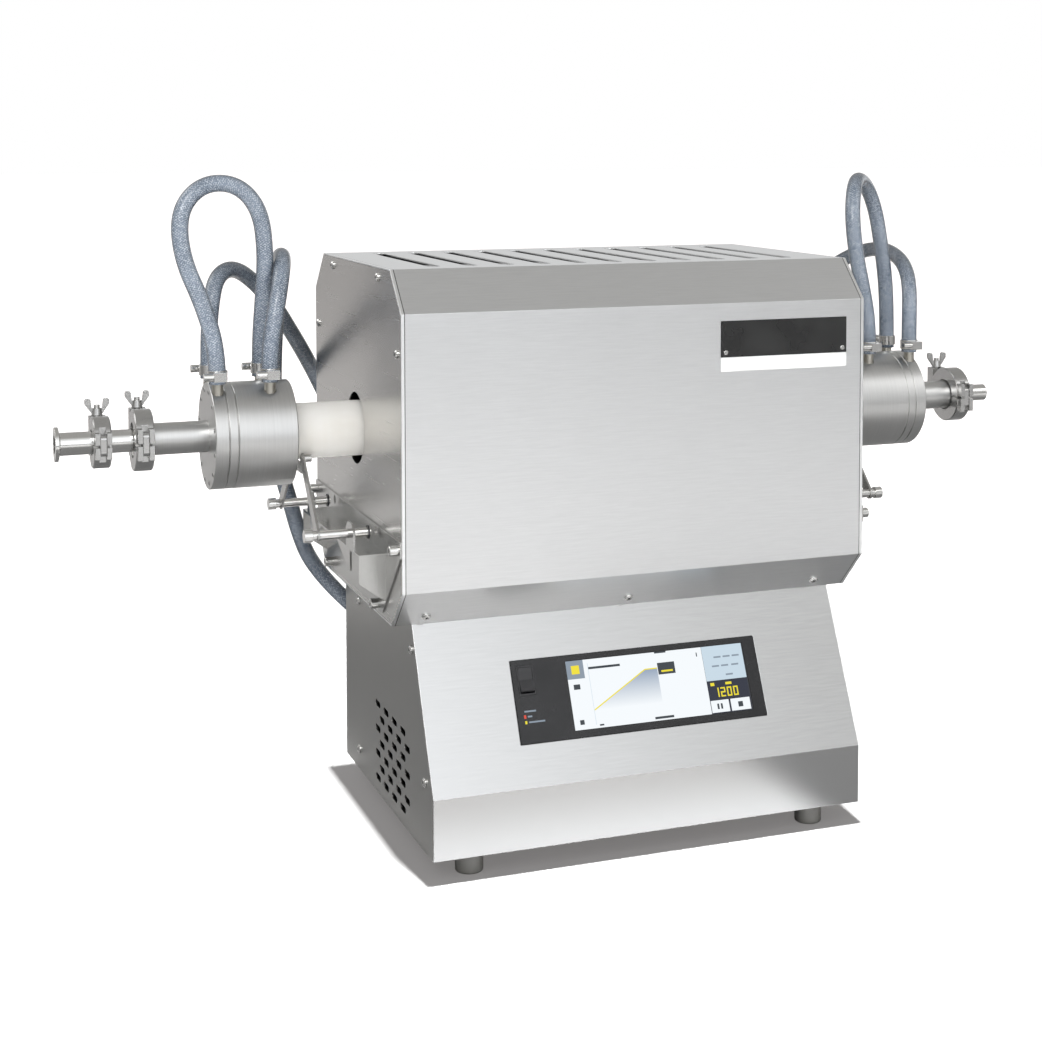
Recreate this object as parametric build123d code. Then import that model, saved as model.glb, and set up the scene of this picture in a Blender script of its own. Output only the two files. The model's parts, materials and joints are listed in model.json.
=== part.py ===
from build123d import *
import os
from math import asin, atan2, cos, degrees, pi, radians, sin, sqrt, tan

# Compact tube furnace: an eight-sided furnace housing on a console base, a ceramic work
# tube through it, a water-cooled gas flange on each end of the tube, and vacuum clamps.
# Millimetres. X runs along the tube, Y to the back, Z up from the bench. Until it is
# written out, x = 0 is the middle of the housing and y = 0 is the tube's axis.

# ---- Base cabinet
base_width = 398.6
base_front = 184.0  # from the tube's axis to the front lip
base_rear = 113.0
base_height = 184.0  # from the floor pan to the housing
lip_height = 52.0
slope_top = 121.0  # how far in front of the axis the sloped panel ends
base_sheet = 1.5
front_sheet = 1.5
return_width = 14.0  # the folds of the front panel inside the cabinet's sides
top_opening = (300.0, 150.0)

foot_height = 20.0
foot_radius = 12.0
foot_inset_x = 38.3  # from the cabinet's sides, lip and rear to a foot's middle
foot_inset_front = 24.0
foot_inset_rear = 23.0

vent_length = 17.0
vent_height = 6.0
vent_pitch_y = 28.0
vent_pitch_z = 11.4
vent_rows = 7
vent_columns = 4
vent_first_y = -6.5
vent_first_z = 34.0

# ---- Control panel on the sloped front
panel_width = 232.0
panel_length = 70.5  # up the slope
panel_middle_x = -1.0
panel_middle_s = 71.25  # up the slope from the lip's fold
panel_proud = 1.0
panel_thickness = 4.0
panel_clearance = 0.3
screen_width = 170.0
screen_length = 59.5
screen_middle_x = 17.75
screen_middle_s = 71.75
screen_thickness = 6.0
screen_clearance = 0.2
screen_recess = 0.4
controller_depth = 40.0
controller_wall = 2.5
controller_margin = 3.0

switch_width = 15.0
switch_length = 25.0
switch_depth = 16.0
switch_middle_x = -105.0
switch_middle_s = 89.0
switch_wall = 1.1
switch_end_wall = 1.3
rocker_clearance = 0.25
rocker_pin_radius = 1.2
rocker_pivot_depth = 5.0
rocker_throw = 14.0  # degrees from one pressed end to the other
pin_running_clearance = 0.05

# ---- Furnace housing
housing_width = 434.0
housing_depth = 312.0
housing_height = 304.0
housing_chamfer = 35.0
cover_sheet = 1.2
side_sheet = 1.5
side_seam = 0.4  # between the side panel and the fold of the cover
flange_fold = 12.0
tube_height = 152.5  # the tube's axis above the housing's floor
tube_hole_radius = 32.5
top_slot_length = 196.0
top_slot_width = 11.0
top_slot_pitch = 34.0
top_slot_count = 11

air_gap = 14.0  # between the cover and the inner casing
casing_sheet = 1.0
casing_end_gap = 21.0  # from the side panel's face to the casing's end
casing_rail_width = 12.0
casing_rail_y = 70.0
hot_end_wall = 71.0  # from the casing's end to the hot zone
hot_radius = 47.0
heater_rod_radius = 5.0
heater_rod_circle = 38.0
heater_rod_count = 4
heater_rod_seat = 15.0
fit_gap = 0.3  # between pieces that seat in each other
collar_outer_radius = 31.0
collar_overhang = 5.0
thermocouple_radius = 3.0
thermocouple_head_radius = 9.0
thermocouple_head_height = 8.0
thermocouple_tip_gap = 2.0

# ---- Work tube and cooled flanges
tube_radius = 25.0
tube_bore_radius = 20.0
flange_gap = 62.0  # from the side panel's face to the flange
flange_radius = 47.0
flange_body_length = 52.0
flange_ring_length = 8.0
flange_end_length = 12.0
flange_edge = 0.7
tube_engagement = 48.0
seal_width = 3.5
seal_depth = 4.0
seal_squeeze = 0.1
nipple_spread = 22.0
nipple_inner_offset = 20.0  # from the flange's inner face
nipple_outer_offset = 66.0
nipple_radius = 5.0
nipple_height = 10.0
nipple_seat = 38.5  # of the flat seat above the tube's axis

# ---- Gas line: small flanges with centring rings and clamps, sizes KF 25 and KF 16
pipe_wall = 2.0
gas_pipe_radius = 14.0
small_pipe_radius = 10.0
fitting_radius = 8.25
large_flange_radius = 20.0
small_flange_radius = 15.0
flange_rim = 3.0
flange_cone = 15.0  # degrees
ring_gap = 2.6  # between two faces, held by the centring ring
large_clamp_reach = 56.5  # from the flange's outer face
small_clamp_reach = 35.0  # from the large clamp's middle
open_port_reach = 38.5  # from the small clamp's middle
fitting_reach = 38.5  # from the large clamp's middle

# ---- Clamps
large_clamp_radius = 27.0
small_clamp_radius = 22.5
large_clamp_width = 16.0
small_clamp_width = 15.0
clamp_bolt_radius = 2.5
clamp_split = 2.4
clamp_lug_width = 14.0
clamp_pivot_radius = 1.6
nut_height = 6.0
nut_radius = 4.8
wing_span = 10.5
wing_rise = 14.5
wing_width = 5.0
wing_thickness = 3.4

# ---- Tube supports at both sides
bracket_sheet = 1.6
bracket_low = 6.0  # above the housing's floor
bracket_top = 79.0
bracket_low_inset = 60.0  # from the housing's front and rear, at the bottom and higher up
bracket_high_inset = 1.0
shelf_height = 60.0
shelf_front = 108.0
shelf_reach = 25.0
shelf_sheet = 2.0
gusset_drop = 25.0  # below the shelf, at its outer edge, at the toe and at the wall
gusset_toe_drop = 37.0
gusset_wall_drop = 42.0
gusset_toe_reach = 8.0
flap_end = 30.0
flap_drop = 20.0
tab_sheet = 2.0
tab_width = 26.0
rod_radius = 4.0
rod_y = 76.0
rod_height = 73.0
rod_outer_reach = 65.0  # from the side panel's face
rod_inner_gap = 6.5
rod_cap_radius = 5.5
rod_cap_length = 7.0
rod_slide_clearance = 0.05
clip_radius = 6.0
clip_thickness = 1.2
clip_inset = 1.5
saddle_reach = 52.0  # from the side panel's face
saddle_sheet = 2.0
saddle_leg_width = 11.0
saddle_bar_height = 9.0
roller_radius = 3.25
roller_length = 9.0
roller_angle = 39.0  # from straight below the tube
roller_gap = 0.2
saddle_tube_clearance = 1.5

# ---- Cooling water
hose_radius = 7.5
hose_clamp_width = 9.0
hose_clamp_sheet = 0.9
hose_clamp_gap = 0.3
hose_clamp_lift = 3.0
worm_radius = 4.2
worm_length = 20.0
manifold_half_length = 110.0
manifold_depth = 36.0
manifold_height = 40.0
manifold_low = 118.0  # above the bench
channel_radius = 4.0
drill_radius = 3.5
supply_offset = 27.0  # of the supply channel above the manifold's underside
return_offset = 13.0
port_radius = 9.3
port_depth = 12.0
port_x = 40.0
manifold_nipple_x = 70.0
manifold_nipple_height = 6.0
end_nipple_length = 7.0

# ---- Screws
button_radius = 4.0
button_height = 2.4
cap_radius = 4.5
cap_height = 8.0
cap_socket_radius = 2.3
cap_socket_depth = 3.5
panel_screws = ((74.0, 9.0), (13.0, 69.0))  # in from the housing's face, down from its top
chamfer_screw_insets = (28.0, 36.0)  # from the housing's left and right end
chamfer_screw_middle = -3.0
cabinet_screws = ((64.0, 162.0), (23.0, 60.0), (244.0, 162.0), (244.0, 20.0))  # back, up
rear_screw_inset = 14.0
bracket_screw_inset = 8.0  # of the upper screws, from the housing's face and the plate's top
bracket_screw_low = (11.0, 6.0)  # of the lower screws, in from the plate's lower corner
manifold_screw_inset = 15.0

# ---- Electrical parts
relay_size = (58.0, 45.0, 28.0)
relay_place = (-60.0, 40.0)
sink_height = 22.0
fin_count = 7
fin_thickness = 2.0
inlet_inset = 49.3  # from the cabinet's right side
inlet_z = 62.0
inlet_size = (27.5, 20.0)
inlet_depth = 20.0
inlet_flange = (34.0, 26.0)
inlet_flange_sheet = 3.0
inlet_wall = 2.0
inlet_pin = (4.0, 2.0)
inlet_pin_length = 7.0
inlet_pin_spread = 7.0

# ---- Places that follow from the sizes above
base_low = foot_height
base_top = base_low + base_height
lip_top = base_low + lip_height
housing_low = base_top
housing_top = housing_low + housing_height
half_width = housing_width / 2
half_depth = housing_depth / 2
tube_z = housing_low + tube_height
slope_angle = atan2(base_front - slope_top, base_top - lip_top)  # from upright
panel_inner = half_width - side_sheet
wall_face = half_width  # outer face of the side panels
casing_half_length = half_width - casing_end_gap
hot_half_length = casing_half_length - hot_end_wall
flange_inner = half_width + flange_gap
flange_seam = flange_inner + flange_body_length
ring_end = flange_seam + flange_ring_length
flange_outer = ring_end + flange_end_length
large_clamp_x = flange_outer + large_clamp_reach
small_clamp_x = large_clamp_x + small_clamp_reach
open_port_x = small_clamp_x + open_port_reach
fitting_end_x = large_clamp_x + fitting_reach
tube_half_length = flange_inner + tube_engagement
nipple_xs = (flange_inner + nipple_inner_offset, flange_inner + nipple_outer_offset)
nipple_top = tube_z + nipple_seat + nipple_height
rod_z = housing_low + rod_height
shelf_z = housing_low + shelf_height
bracket_low_y = half_depth - bracket_low_inset
bracket_high_y = half_depth - bracket_high_inset
rod_outer_x = half_width + rod_outer_reach
rod_inner_x = half_width + rod_inner_gap
saddle_x = half_width + saddle_reach
inlet_x = base_width / 2 - inlet_inset
manifold_y = base_rear + manifold_depth / 2
manifold_top = manifold_low + manifold_height
supply_z = manifold_low + supply_offset
return_z = manifold_low + return_offset

# The origin is the middle of the bottom of the rigid parts' bounding box.
origin_x = (fitting_end_x - open_port_x) / 2
origin_y = (half_depth - base_front) / 2

# Points of the cooling hoses, from end to end, laid round a housing whose half width, half
# depth, floor and tube height are these. Each starts on a nipple.
laid_half_width = 217.0
laid_half_depth = 156.0
laid_floor = 204.0
laid_tube_height = 152.5
left_loop_route = [
    (-345, -22, 405), (-345, -22, 434), (-356, -18, 474), (-373, -12, 515),
    (-375, -8, 555), (-354, -3, 579), (-322, 3, 579), (-300, 8, 555),
    (-295, 12, 514), (-297, 17, 472), (-299, 22, 434), (-299, 22, 405),
]
left_supply_route = [
    (-345, 22, 405), (-345, 22, 436), (-342, 27, 470), (-334, 41, 495),
    (-314, 64, 501), (-289, 84, 483), (-266, 104, 457), (-252, 122, 438),
    (-233, 150, 413), (-212, 180, 382), (-190, 197, 341), (-170, 203, 297),
    (-146, 200, 262), (-119, 190, 240), (-92, 170, 230), (-76, 147, 214),
    (-70, 131, 190), (-70, 131, 164),
]
left_return_route = [
    (-299, -22, 405), (-299, -22, 434), (-293, -19, 464), (-286, -8, 492),
    (-279, 14, 511), (-276, 40, 513), (-274, 62, 497), (-274, 70, 462),
    (-275, 76, 424), (-275, 81, 384), (-273, 89, 345), (-266, 100, 307),
    (-254, 112, 272), (-243, 125, 238), (-229, 141, 207), (-205, 146, 176),
    (-177, 139, 148), (-147, 131, 131), (-117, 131, 131),
]
right_loop_route = [
    (345, 22, 405), (345, 22, 435), (346, 27, 474), (343, 32, 512),
    (339, 36, 545), (323, 26, 570), (300, 4, 579), (283, -18, 569),
    (275, -30, 541), (279, -31, 504), (290, -27, 467), (299, -22, 433),
    (299, -22, 405),
]
right_supply_route = [
    (345, -22, 405), (345, -22, 434), (349, -16, 463), (358, 4, 483),
    (367, 36, 496), (370, 74, 503), (364, 112, 498), (349, 147, 480),
    (322, 175, 450), (287, 193, 416), (251, 201, 380), (215, 205, 342),
    (181, 205, 304), (149, 200, 268), (119, 190, 240), (92, 170, 230),
    (76, 147, 214), (70, 131, 190), (70, 131, 164),
]
right_return_route = [
    (299, 22, 405), (299, 22, 433), (298, 31, 460), (297, 53, 476),
    (295, 80, 474), (293, 101, 456), (291, 110, 424), (287, 109, 382),
    (279, 106, 342), (267, 107, 305), (254, 114, 270), (243, 126, 238),
    (229, 141, 207), (205, 146, 176), (177, 139, 148), (147, 131, 131),
    (117, 131, 131),
]

slope_plane = Plane(
    origin=(0, -base_front, lip_top),
    x_dir=(1, 0, 0),
    z_dir=(0, -cos(slope_angle), sin(slope_angle)),
)


# ---- Shared shapes
def block(x_span, y_span, z_span):
    """A box between two values on each axis."""
    spans = (x_span, y_span, z_span)
    middle = [(low + high) / 2 for low, high in spans]
    size = [abs(high - low) for low, high in spans]
    return Pos(*middle) * Box(*size)


def prism_x(outline, x_low, x_high):
    """A closed outline of (y, z) points pushed along the tube's direction."""
    wire = Polyline(*[(x_low, y, z) for y, z in outline], close=True)
    return extrude(make_face(wire), amount=x_high - x_low, dir=(1, 0, 0))


def rod_x(radius, x_low, x_high, y=0.0, z=None):
    """A round bar along X; on the tube's axis unless it is given a height."""
    height = tube_z if z is None else z
    bar = Cylinder(radius, x_high - x_low, rotation=(0, 90, 0))
    return Pos((x_low + x_high) / 2, y, height) * bar


def turned(profile):
    """A closed outline of (x, radius) points turned about the tube's axis."""
    wire = Polyline(*[(x, 0, r) for x, r in profile], close=True)
    return Pos(0, 0, tube_z) * revolve(make_face(wire), Axis.X)


def group(*pieces):
    """Separate solids kept in one sub-part."""
    return Compound([solid for piece in pieces for solid in piece.solids()])


def mirrored(piece):
    """The same piece for the other end of the furnace."""
    return mirror(piece, about=Plane.YZ)


def on_slope(x_span, s_span, n_span):
    """A box on the sloped panel: across, up the slope and out of it."""
    return slope_plane * block(x_span, s_span, n_span)


def span(middle, size):
    return (middle - size / 2, middle + size / 2)


# ---- Base
def base_outline(front_inset, rear_inset, low, high):
    """The cabinet's side view, with its front and rear moved in by a sheet."""
    lean = tan(slope_angle)
    run = front_inset / cos(slope_angle)
    knee = lip_top + (front_inset - run) / lean
    top_y = -base_front + lean * (high - lip_top) + run
    return [
        (-base_front + front_inset, low),
        (-base_front + front_inset, knee),
        (top_y, high),
        (base_rear - rear_inset, high),
        (base_rear - rear_inset, low),
    ]


def front_band(outer_inset, inner_inset, low, high):
    """The side view of a strip that follows the lip and the slope."""
    outer = base_outline(outer_inset, 0, low, high)[:3]
    inner = base_outline(inner_inset, 0, low, high)[:3]
    return outer + inner[::-1]


def vent_slots():
    """Staggered rows of round-ended slots through one side of the cabinet."""
    slot = SlotOverall(vent_length, vent_height)
    faces = []
    for row in range(vent_rows):
        shift = vent_pitch_y / 2 if row % 2 else 0
        for column in range(vent_columns):
            y = vent_first_y - shift - column * vent_pitch_y
            faces.append(Pos(y, vent_first_z + row * vent_pitch_z) * slot)
    plane = Plane(origin=(-base_width, 0, 0), x_dir=(0, 1, 0), z_dir=(1, 0, 0))
    return [extrude(plane * face, amount=2 * base_width) for face in faces]


def base_cabinet():
    """Floor pan, sides and top in one folded sheet, open at the front and rear."""
    half = base_width / 2
    shell = prism_x(base_outline(front_sheet, base_sheet, base_low, base_top), -half, half)
    beyond = base_outline(-base_sheet, -base_sheet, base_low + base_sheet, base_top - base_sheet)
    shell -= prism_x(beyond, -half + base_sheet, half - base_sheet)
    width, depth = top_opening
    shell -= block(span(0, width), span(0, depth), (base_top - 2 * base_sheet, base_top + base_sheet))
    return shell - vent_slots()


def front_panel():
    """Lip and sloped panel in one sheet, with a fold inside each side."""
    half = base_width / 2
    sheet = prism_x(front_band(0, front_sheet, base_low, base_top), -half, half)
    fold = front_band(front_sheet, return_width, base_low + base_sheet, base_top - base_sheet)
    outer = half - base_sheet
    for side in (-1, 1):
        near, far = sorted((side * outer, side * (outer - front_sheet)))
        sheet += prism_x(fold, near, far)
    hole = on_slope(
        span(panel_middle_x, panel_width + 2 * panel_clearance),
        span(panel_middle_s, panel_length + 2 * panel_clearance),
        (-3 * front_sheet, front_sheet),
    )
    return sheet - hole


def rear_panel():
    """Flat sheet that closes the cabinet's rear, with the mains inlet's cut-out."""
    half = base_width / 2
    sheet = block((-half, half), (base_rear - base_sheet, base_rear), (base_low, base_top))
    width, height = inlet_size
    return sheet - block(
        span(inlet_x, width + 2 * fit_gap),
        (base_rear - 2 * base_sheet, base_rear + base_sheet),
        span(inlet_z, height + 2 * fit_gap),
    )


def feet():
    """Four rubber feet with a rounded sole."""
    half = foot_height / 2
    foot = Cylinder(foot_radius, foot_height)
    foot = fillet(foot.edges().group_by(Axis.Z)[0], 1.5)
    spread = base_width / 2 - foot_inset_x
    rows = (foot_inset_front - base_front, base_rear - foot_inset_rear)
    return group(*[Pos(x, y, half) * foot for x in (-spread, spread) for y in rows])


# ---- Control panel
def control_panel():
    """Black front plate with a window for the screen and a hole for the switch."""
    depth = (panel_proud - panel_thickness, panel_proud)
    through = (-2 * panel_thickness, 2 * panel_thickness)
    plate = on_slope(span(panel_middle_x, panel_width), span(panel_middle_s, panel_length), depth)
    plate -= on_slope(
        span(screen_middle_x, screen_width + 2 * screen_clearance),
        span(screen_middle_s, screen_length + 2 * screen_clearance),
        through,
    )
    return plate - on_slope(
        span(switch_middle_x, switch_width + 2 * screen_clearance),
        span(switch_middle_s, switch_length + 2 * screen_clearance),
        through,
    )


def touch_screen():
    """Glass and display module in the plate's window."""
    front = panel_proud - screen_recess
    return on_slope(
        span(screen_middle_x, screen_width),
        span(screen_middle_s, screen_length),
        (front - screen_thickness, front),
    )


def controller_housing():
    """Open moulded box behind the plate, which the plate's edge rests on."""
    width = panel_width + 2 * (panel_clearance + controller_margin)
    length = panel_length + 2 * (panel_clearance + controller_margin)
    seat = panel_proud - panel_thickness
    box = on_slope(
        span(panel_middle_x, width), span(panel_middle_s, length), (-controller_depth, -front_sheet)
    )
    box -= on_slope(
        span(panel_middle_x, panel_width + 2 * panel_clearance),
        span(panel_middle_s, panel_length + 2 * panel_clearance),
        (seat, 0),
    )
    ledge = controller_wall
    return box - on_slope(
        span(panel_middle_x, panel_width - 2 * ledge),
        span(panel_middle_s, panel_length - 2 * ledge),
        (controller_wall - controller_depth, 0),
    )


def switch_frame():
    """The power switch's body: a deep pocket with a bearing hole in each side."""
    front = panel_proud + rocker_clearance
    frame = on_slope(
        span(switch_middle_x, switch_width),
        span(switch_middle_s, switch_length),
        (front - switch_depth, front),
    )
    frame -= on_slope(
        span(switch_middle_x, switch_width - 2 * switch_wall),
        span(switch_middle_s, switch_length - 2 * switch_end_wall),
        (front - switch_depth + switch_wall, 2 * front),
    )
    bearing = Cylinder(rocker_pin_radius + pin_running_clearance, switch_width, rotation=(0, 90, 0))
    place = Pos(switch_middle_x, switch_middle_s, panel_proud - rocker_pivot_depth)
    return frame - slope_plane * (place * bearing)


def power_rocker():
    """Rocker with a hollow face and two stub pins, one end pressed at rest."""
    half_width_in = switch_width / 2 - switch_wall
    half = (switch_length - 2 * switch_end_wall) / 2 - 1.0
    end_rise = rocker_pivot_depth + 1.5
    middle_rise = rocker_pivot_depth
    keel = 3.5
    outline = [
        (-half, 1), (-half, end_rise), (0, middle_rise), (half, end_rise), (half, 1),
        (keel, -keel), (-keel, -keel),
    ]
    width = half_width_in - rocker_clearance
    wire = Polyline(*[(-width, s, n) for s, n in outline], close=True)
    body = extrude(make_face(wire), amount=2 * width, dir=(1, 0, 0))
    pin_length = 2 * (switch_width / 2 - rocker_clearance)
    body += Cylinder(rocker_pin_radius, pin_length, rotation=(0, 90, 0))
    place = Pos(switch_middle_x, switch_middle_s, panel_proud - rocker_pivot_depth)
    return slope_plane * (place * (Rot(-rocker_throw / 2, 0, 0) * body))


def power_relay():
    """Solid-state relay on a finned heat sink, on the floor pan."""
    width, depth, height = relay_size
    x, y = relay_place
    floor = base_low + base_sheet
    plate_top = floor + sink_height
    sink = block(span(x, width), span(y, depth), (plate_top - 4, plate_top))
    pitch = (width - fin_thickness) / (fin_count - 1)
    for fin in range(fin_count):
        left = x - width / 2 + fin * pitch
        sink += block((left, left + fin_thickness), span(y, depth), (floor, plate_top - 4))
    relay = block(span(x, width - 10), span(y, depth), (plate_top, plate_top + height))
    relay = fillet(relay.edges().filter_by(Axis.Z), 3)
    return group(sink, relay)


def mains_inlet():
    """Appliance inlet with three pins in its socket."""
    width, height = inlet_size
    back = base_rear - inlet_depth
    front = base_rear + inlet_flange_sheet
    body = block(span(inlet_x, width), (back, base_rear), span(inlet_z, height))
    body += block(
        span(inlet_x, inlet_flange[0]), (base_rear, front), span(inlet_z, inlet_flange[1])
    )
    body -= block(
        span(inlet_x, width - 2 * inlet_wall),
        (back + inlet_wall, front + 1),
        span(inlet_z, height - 2 * inlet_wall),
    )
    pins = ((-inlet_pin_spread, -1), (0, 3), (inlet_pin_spread, -1))
    for x, z in pins:
        body += block(
            span(inlet_x + x, inlet_pin[1]),
            (back, back + inlet_wall + inlet_pin_length),
            span(inlet_z + z, inlet_pin[0]),
        )
    return body


# ---- Furnace housing
def octagon(inset):
    """The housing's eight-sided outline, moved in by the same amount all round."""
    side = half_depth - inset
    low, high = housing_low + inset, housing_top - inset
    cut = housing_chamfer - (2 - sqrt(2)) * inset
    return [
        (-side, low + cut), (-side, high - cut), (-side + cut, high), (side - cut, high),
        (side, high - cut), (side, low + cut), (side - cut, low), (-side + cut, low),
    ]


def housing_cover():
    """Wrapped outer sheet with folded edges for the side panels and slots on top."""
    cover = prism_x(octagon(0), -half_width, half_width)
    cover -= prism_x(octagon(cover_sheet), -half_width, half_width)
    fold = prism_x(octagon(cover_sheet), panel_inner - cover_sheet, panel_inner)
    fold -= prism_x(octagon(flange_fold), panel_inner - cover_sheet, panel_inner)
    cover += [fold, mirrored(fold)]
    slot = SlotOverall(top_slot_length, top_slot_width, rotation=90)
    for index in range(top_slot_count):
        x = (index - (top_slot_count - 1) / 2) * top_slot_pitch
        cover -= extrude(Pos(x, 0, housing_top + 1) * slot, amount=-4 * cover_sheet)
    width, depth = top_opening
    floor = (housing_low - 1, housing_low + 2 * cover_sheet)
    return cover - block(span(0, width), span(0, depth), floor)


def side_panel():
    """Left side panel, in the recess of the cover, with the hole for the tube."""
    plate = prism_x(octagon(cover_sheet + side_seam), -half_width, -panel_inner)
    return plate - rod_x(tube_hole_radius, -half_width - 1, -panel_inner + 1)


def inner_casing():
    """Closed sheet box round the insulation, on two rails."""
    half = casing_half_length
    casing = prism_x(octagon(air_gap), -half, half)
    casing -= prism_x(octagon(air_gap + casing_sheet), -half + casing_sheet, half - casing_sheet)
    casing -= rod_x(collar_outer_radius + fit_gap, -half - 1, half + 1)
    casing -= thermocouple_bore()
    for side in (-1, 1):
        casing += block(
            (-half, half),
            span(side * casing_rail_y, casing_rail_width),
            (housing_low + cover_sheet, housing_low + air_gap),
        )
    return casing


def thermocouple_bore():
    height = housing_top - tube_z
    bore = Cylinder(thermocouple_radius + fit_gap, height)
    return Pos(0, 0, tube_z + height / 2) * bore


def heater_places():
    step = 2 * pi / heater_rod_count
    angles = [step / 2 + step * index for index in range(heater_rod_count)]
    return [(heater_rod_circle * cos(a), tube_z + heater_rod_circle * sin(a)) for a in angles]


def insulation_halves():
    """Upper and lower fibre blocks round the hot zone, parted at the tube's axis."""
    half = casing_half_length - casing_sheet
    inset = air_gap + casing_sheet
    mass = prism_x(octagon(inset), -half, half)
    mass -= rod_x(collar_outer_radius + fit_gap, -half - 1, half + 1)
    mass -= rod_x(hot_radius, -hot_half_length, hot_half_length)
    reach = hot_half_length + heater_rod_seat + fit_gap
    for y, z in heater_places():
        mass -= rod_x(heater_rod_radius + fit_gap, -reach, reach, y, z)
    mass -= thermocouple_bore()
    keep = (-housing_width, housing_width)
    wide = (-housing_depth, housing_depth)
    lower = mass & block(keep, wide, (0, tube_z))
    upper = mass & block(keep, wide, (tube_z, housing_top))
    return group(lower, upper)


def heating_rods():
    reach = hot_half_length + heater_rod_seat
    return group(*[rod_x(heater_rod_radius, -reach, reach, y, z) for y, z in heater_places()])


def tube_collars():
    """Fibre rings that close the gap round the tube at each end of the hot zone."""
    inner, outer = hot_half_length + fit_gap, casing_half_length + collar_overhang
    bore = tube_radius + fit_gap
    right = turned(
        [(inner, bore), (outer, bore), (outer, collar_outer_radius), (inner, collar_outer_radius)]
    )
    return group(right, mirrored(right))


def thermocouple():
    """Sheathed sensor down to the tube, with its head on the casing."""
    tip = tube_z + tube_radius + thermocouple_tip_gap
    seat = housing_top - air_gap
    sheath = Pos(0, 0, (tip + seat) / 2) * Cylinder(thermocouple_radius, seat - tip)
    head_middle = seat + thermocouple_head_height / 2
    return sheath + Pos(0, 0, head_middle) * Cylinder(
        thermocouple_head_radius, thermocouple_head_height
    )


# ---- Work tube and flanges
def work_tube():
    end = tube_half_length
    return turned(
        [(-end, tube_bore_radius), (end, tube_bore_radius), (end, tube_radius), (-end, tube_radius)]
    )


def nipple_seats(x):
    """Flat seats for the two hose nipples on top of a flange."""
    cutter = Cylinder(nipple_radius + fit_gap, flange_radius)
    middle = tube_z + nipple_seat + flange_radius / 2
    return [Pos(x, y, middle) * cutter for y in (-nipple_spread, nipple_spread)]


def flange_body():
    """Right cooled flange round the end of the tube, with a seat for its seal."""
    bore = tube_radius + fit_gap
    edge = flange_radius - flange_edge
    seat = tube_radius + fit_gap + seal_width
    body = turned([
        (flange_inner, bore), (flange_inner, edge), (flange_inner + flange_edge, flange_radius),
        (flange_seam - flange_edge, flange_radius), (flange_seam, edge), (flange_seam, seat),
        (flange_seam - seal_depth, seat), (flange_seam - seal_depth, bore),
    ])
    return body - nipple_seats(nipple_xs[0])


def flange_ring():
    """Ring that presses the tube's seal."""
    edge = flange_radius - flange_edge
    return turned([
        (flange_seam, tube_bore_radius), (flange_seam, edge),
        (flange_seam + flange_edge, flange_radius), (ring_end - flange_edge, flange_radius),
        (ring_end, edge), (ring_end, tube_bore_radius),
    ])


def seal_ring():
    """Packing ring round the tube, in the flange's seat."""
    inner = tube_radius + seal_squeeze
    outer = tube_radius + fit_gap + seal_width
    low = flange_seam - seal_depth
    return turned([(low, inner), (low, outer), (flange_seam, outer), (flange_seam, inner)])


def flange_profile(face, direction, rim_radius, pipe_radius):
    """(x, radius) points of a clamp flange's outside, from its face back to the pipe."""
    back = face - direction * flange_rim
    root = back - direction * (rim_radius - pipe_radius) * tan(radians(flange_cone))
    return [(face, rim_radius), (back, rim_radius), (root, pipe_radius)]


def flange_end():
    """Right end disc with the gas pipe and its clamp flange in one piece."""
    edge = flange_radius - flange_edge
    bore = gas_pipe_radius - pipe_wall
    face = large_clamp_x - ring_gap / 2
    rim = flange_profile(face, 1, large_flange_radius, gas_pipe_radius)
    end = turned([
        (ring_end, bore), (ring_end, edge), (ring_end + flange_edge, flange_radius),
        (flange_outer - flange_edge, flange_radius), (flange_outer, edge),
        (flange_outer, gas_pipe_radius), *rim[::-1], (face, bore),
    ])
    return end - nipple_seats(nipple_xs[1])


def port_adapter():
    """Left reducing piece between the large and the small clamp."""
    near = large_clamp_x + ring_gap / 2
    far = small_clamp_x - ring_gap / 2
    bore = small_pipe_radius - pipe_wall
    outline = flange_profile(near, -1, large_flange_radius, small_pipe_radius)
    outline += flange_profile(far, 1, small_flange_radius, small_pipe_radius)[::-1]
    return mirrored(turned([(near, bore), *outline, (far, bore)]))


def open_port():
    """Left end pipe with the open vacuum connection."""
    near = small_clamp_x + ring_gap / 2
    bore = small_pipe_radius - pipe_wall
    outline = flange_profile(near, -1, small_flange_radius, small_pipe_radius)
    outline += flange_profile(open_port_x, 1, small_flange_radius, small_pipe_radius)[::-1]
    return mirrored(turned([(near, bore), *outline, (open_port_x, bore)]))


def gas_fitting():
    """Right clamp flange with the gas outlet's short pipe."""
    near = large_clamp_x + ring_gap / 2
    bore = fitting_radius - pipe_wall
    outline = flange_profile(near, -1, large_flange_radius, fitting_radius)
    return turned([(near, bore), *outline, (fitting_end_x, fitting_radius), (fitting_end_x, bore)])


def centring_ring(x, pipe_bore, seal_radius):
    """Flat ring between two clamp flanges, its bore a little wider than the pipe's."""
    half = ring_gap / 2
    bore = pipe_bore + fit_gap
    return turned([(x - half, bore), (x + half, bore), (x + half, seal_radius), (x - half, seal_radius)])


# ---- Clamps, made about the origin with the pipe along X, and then put in place
def clamp_sizes(large):
    if large:
        return large_clamp_radius, large_clamp_width, large_flange_radius, gas_pipe_radius
    return small_clamp_radius, small_clamp_width, small_flange_radius, small_pipe_radius


def clamp_pivot(large):
    """(y, z) of the swing bolt's pivot, behind the ring and just under its middle."""
    radius = clamp_sizes(large)[0]
    return radius + 0.5, -radius / 3


def nut_seat(large):
    """Height of the wing nut's seat above the swing bolt's pivot."""
    radius = clamp_sizes(large)[0]
    return radius - 2 - clamp_pivot(large)[1]


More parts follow.
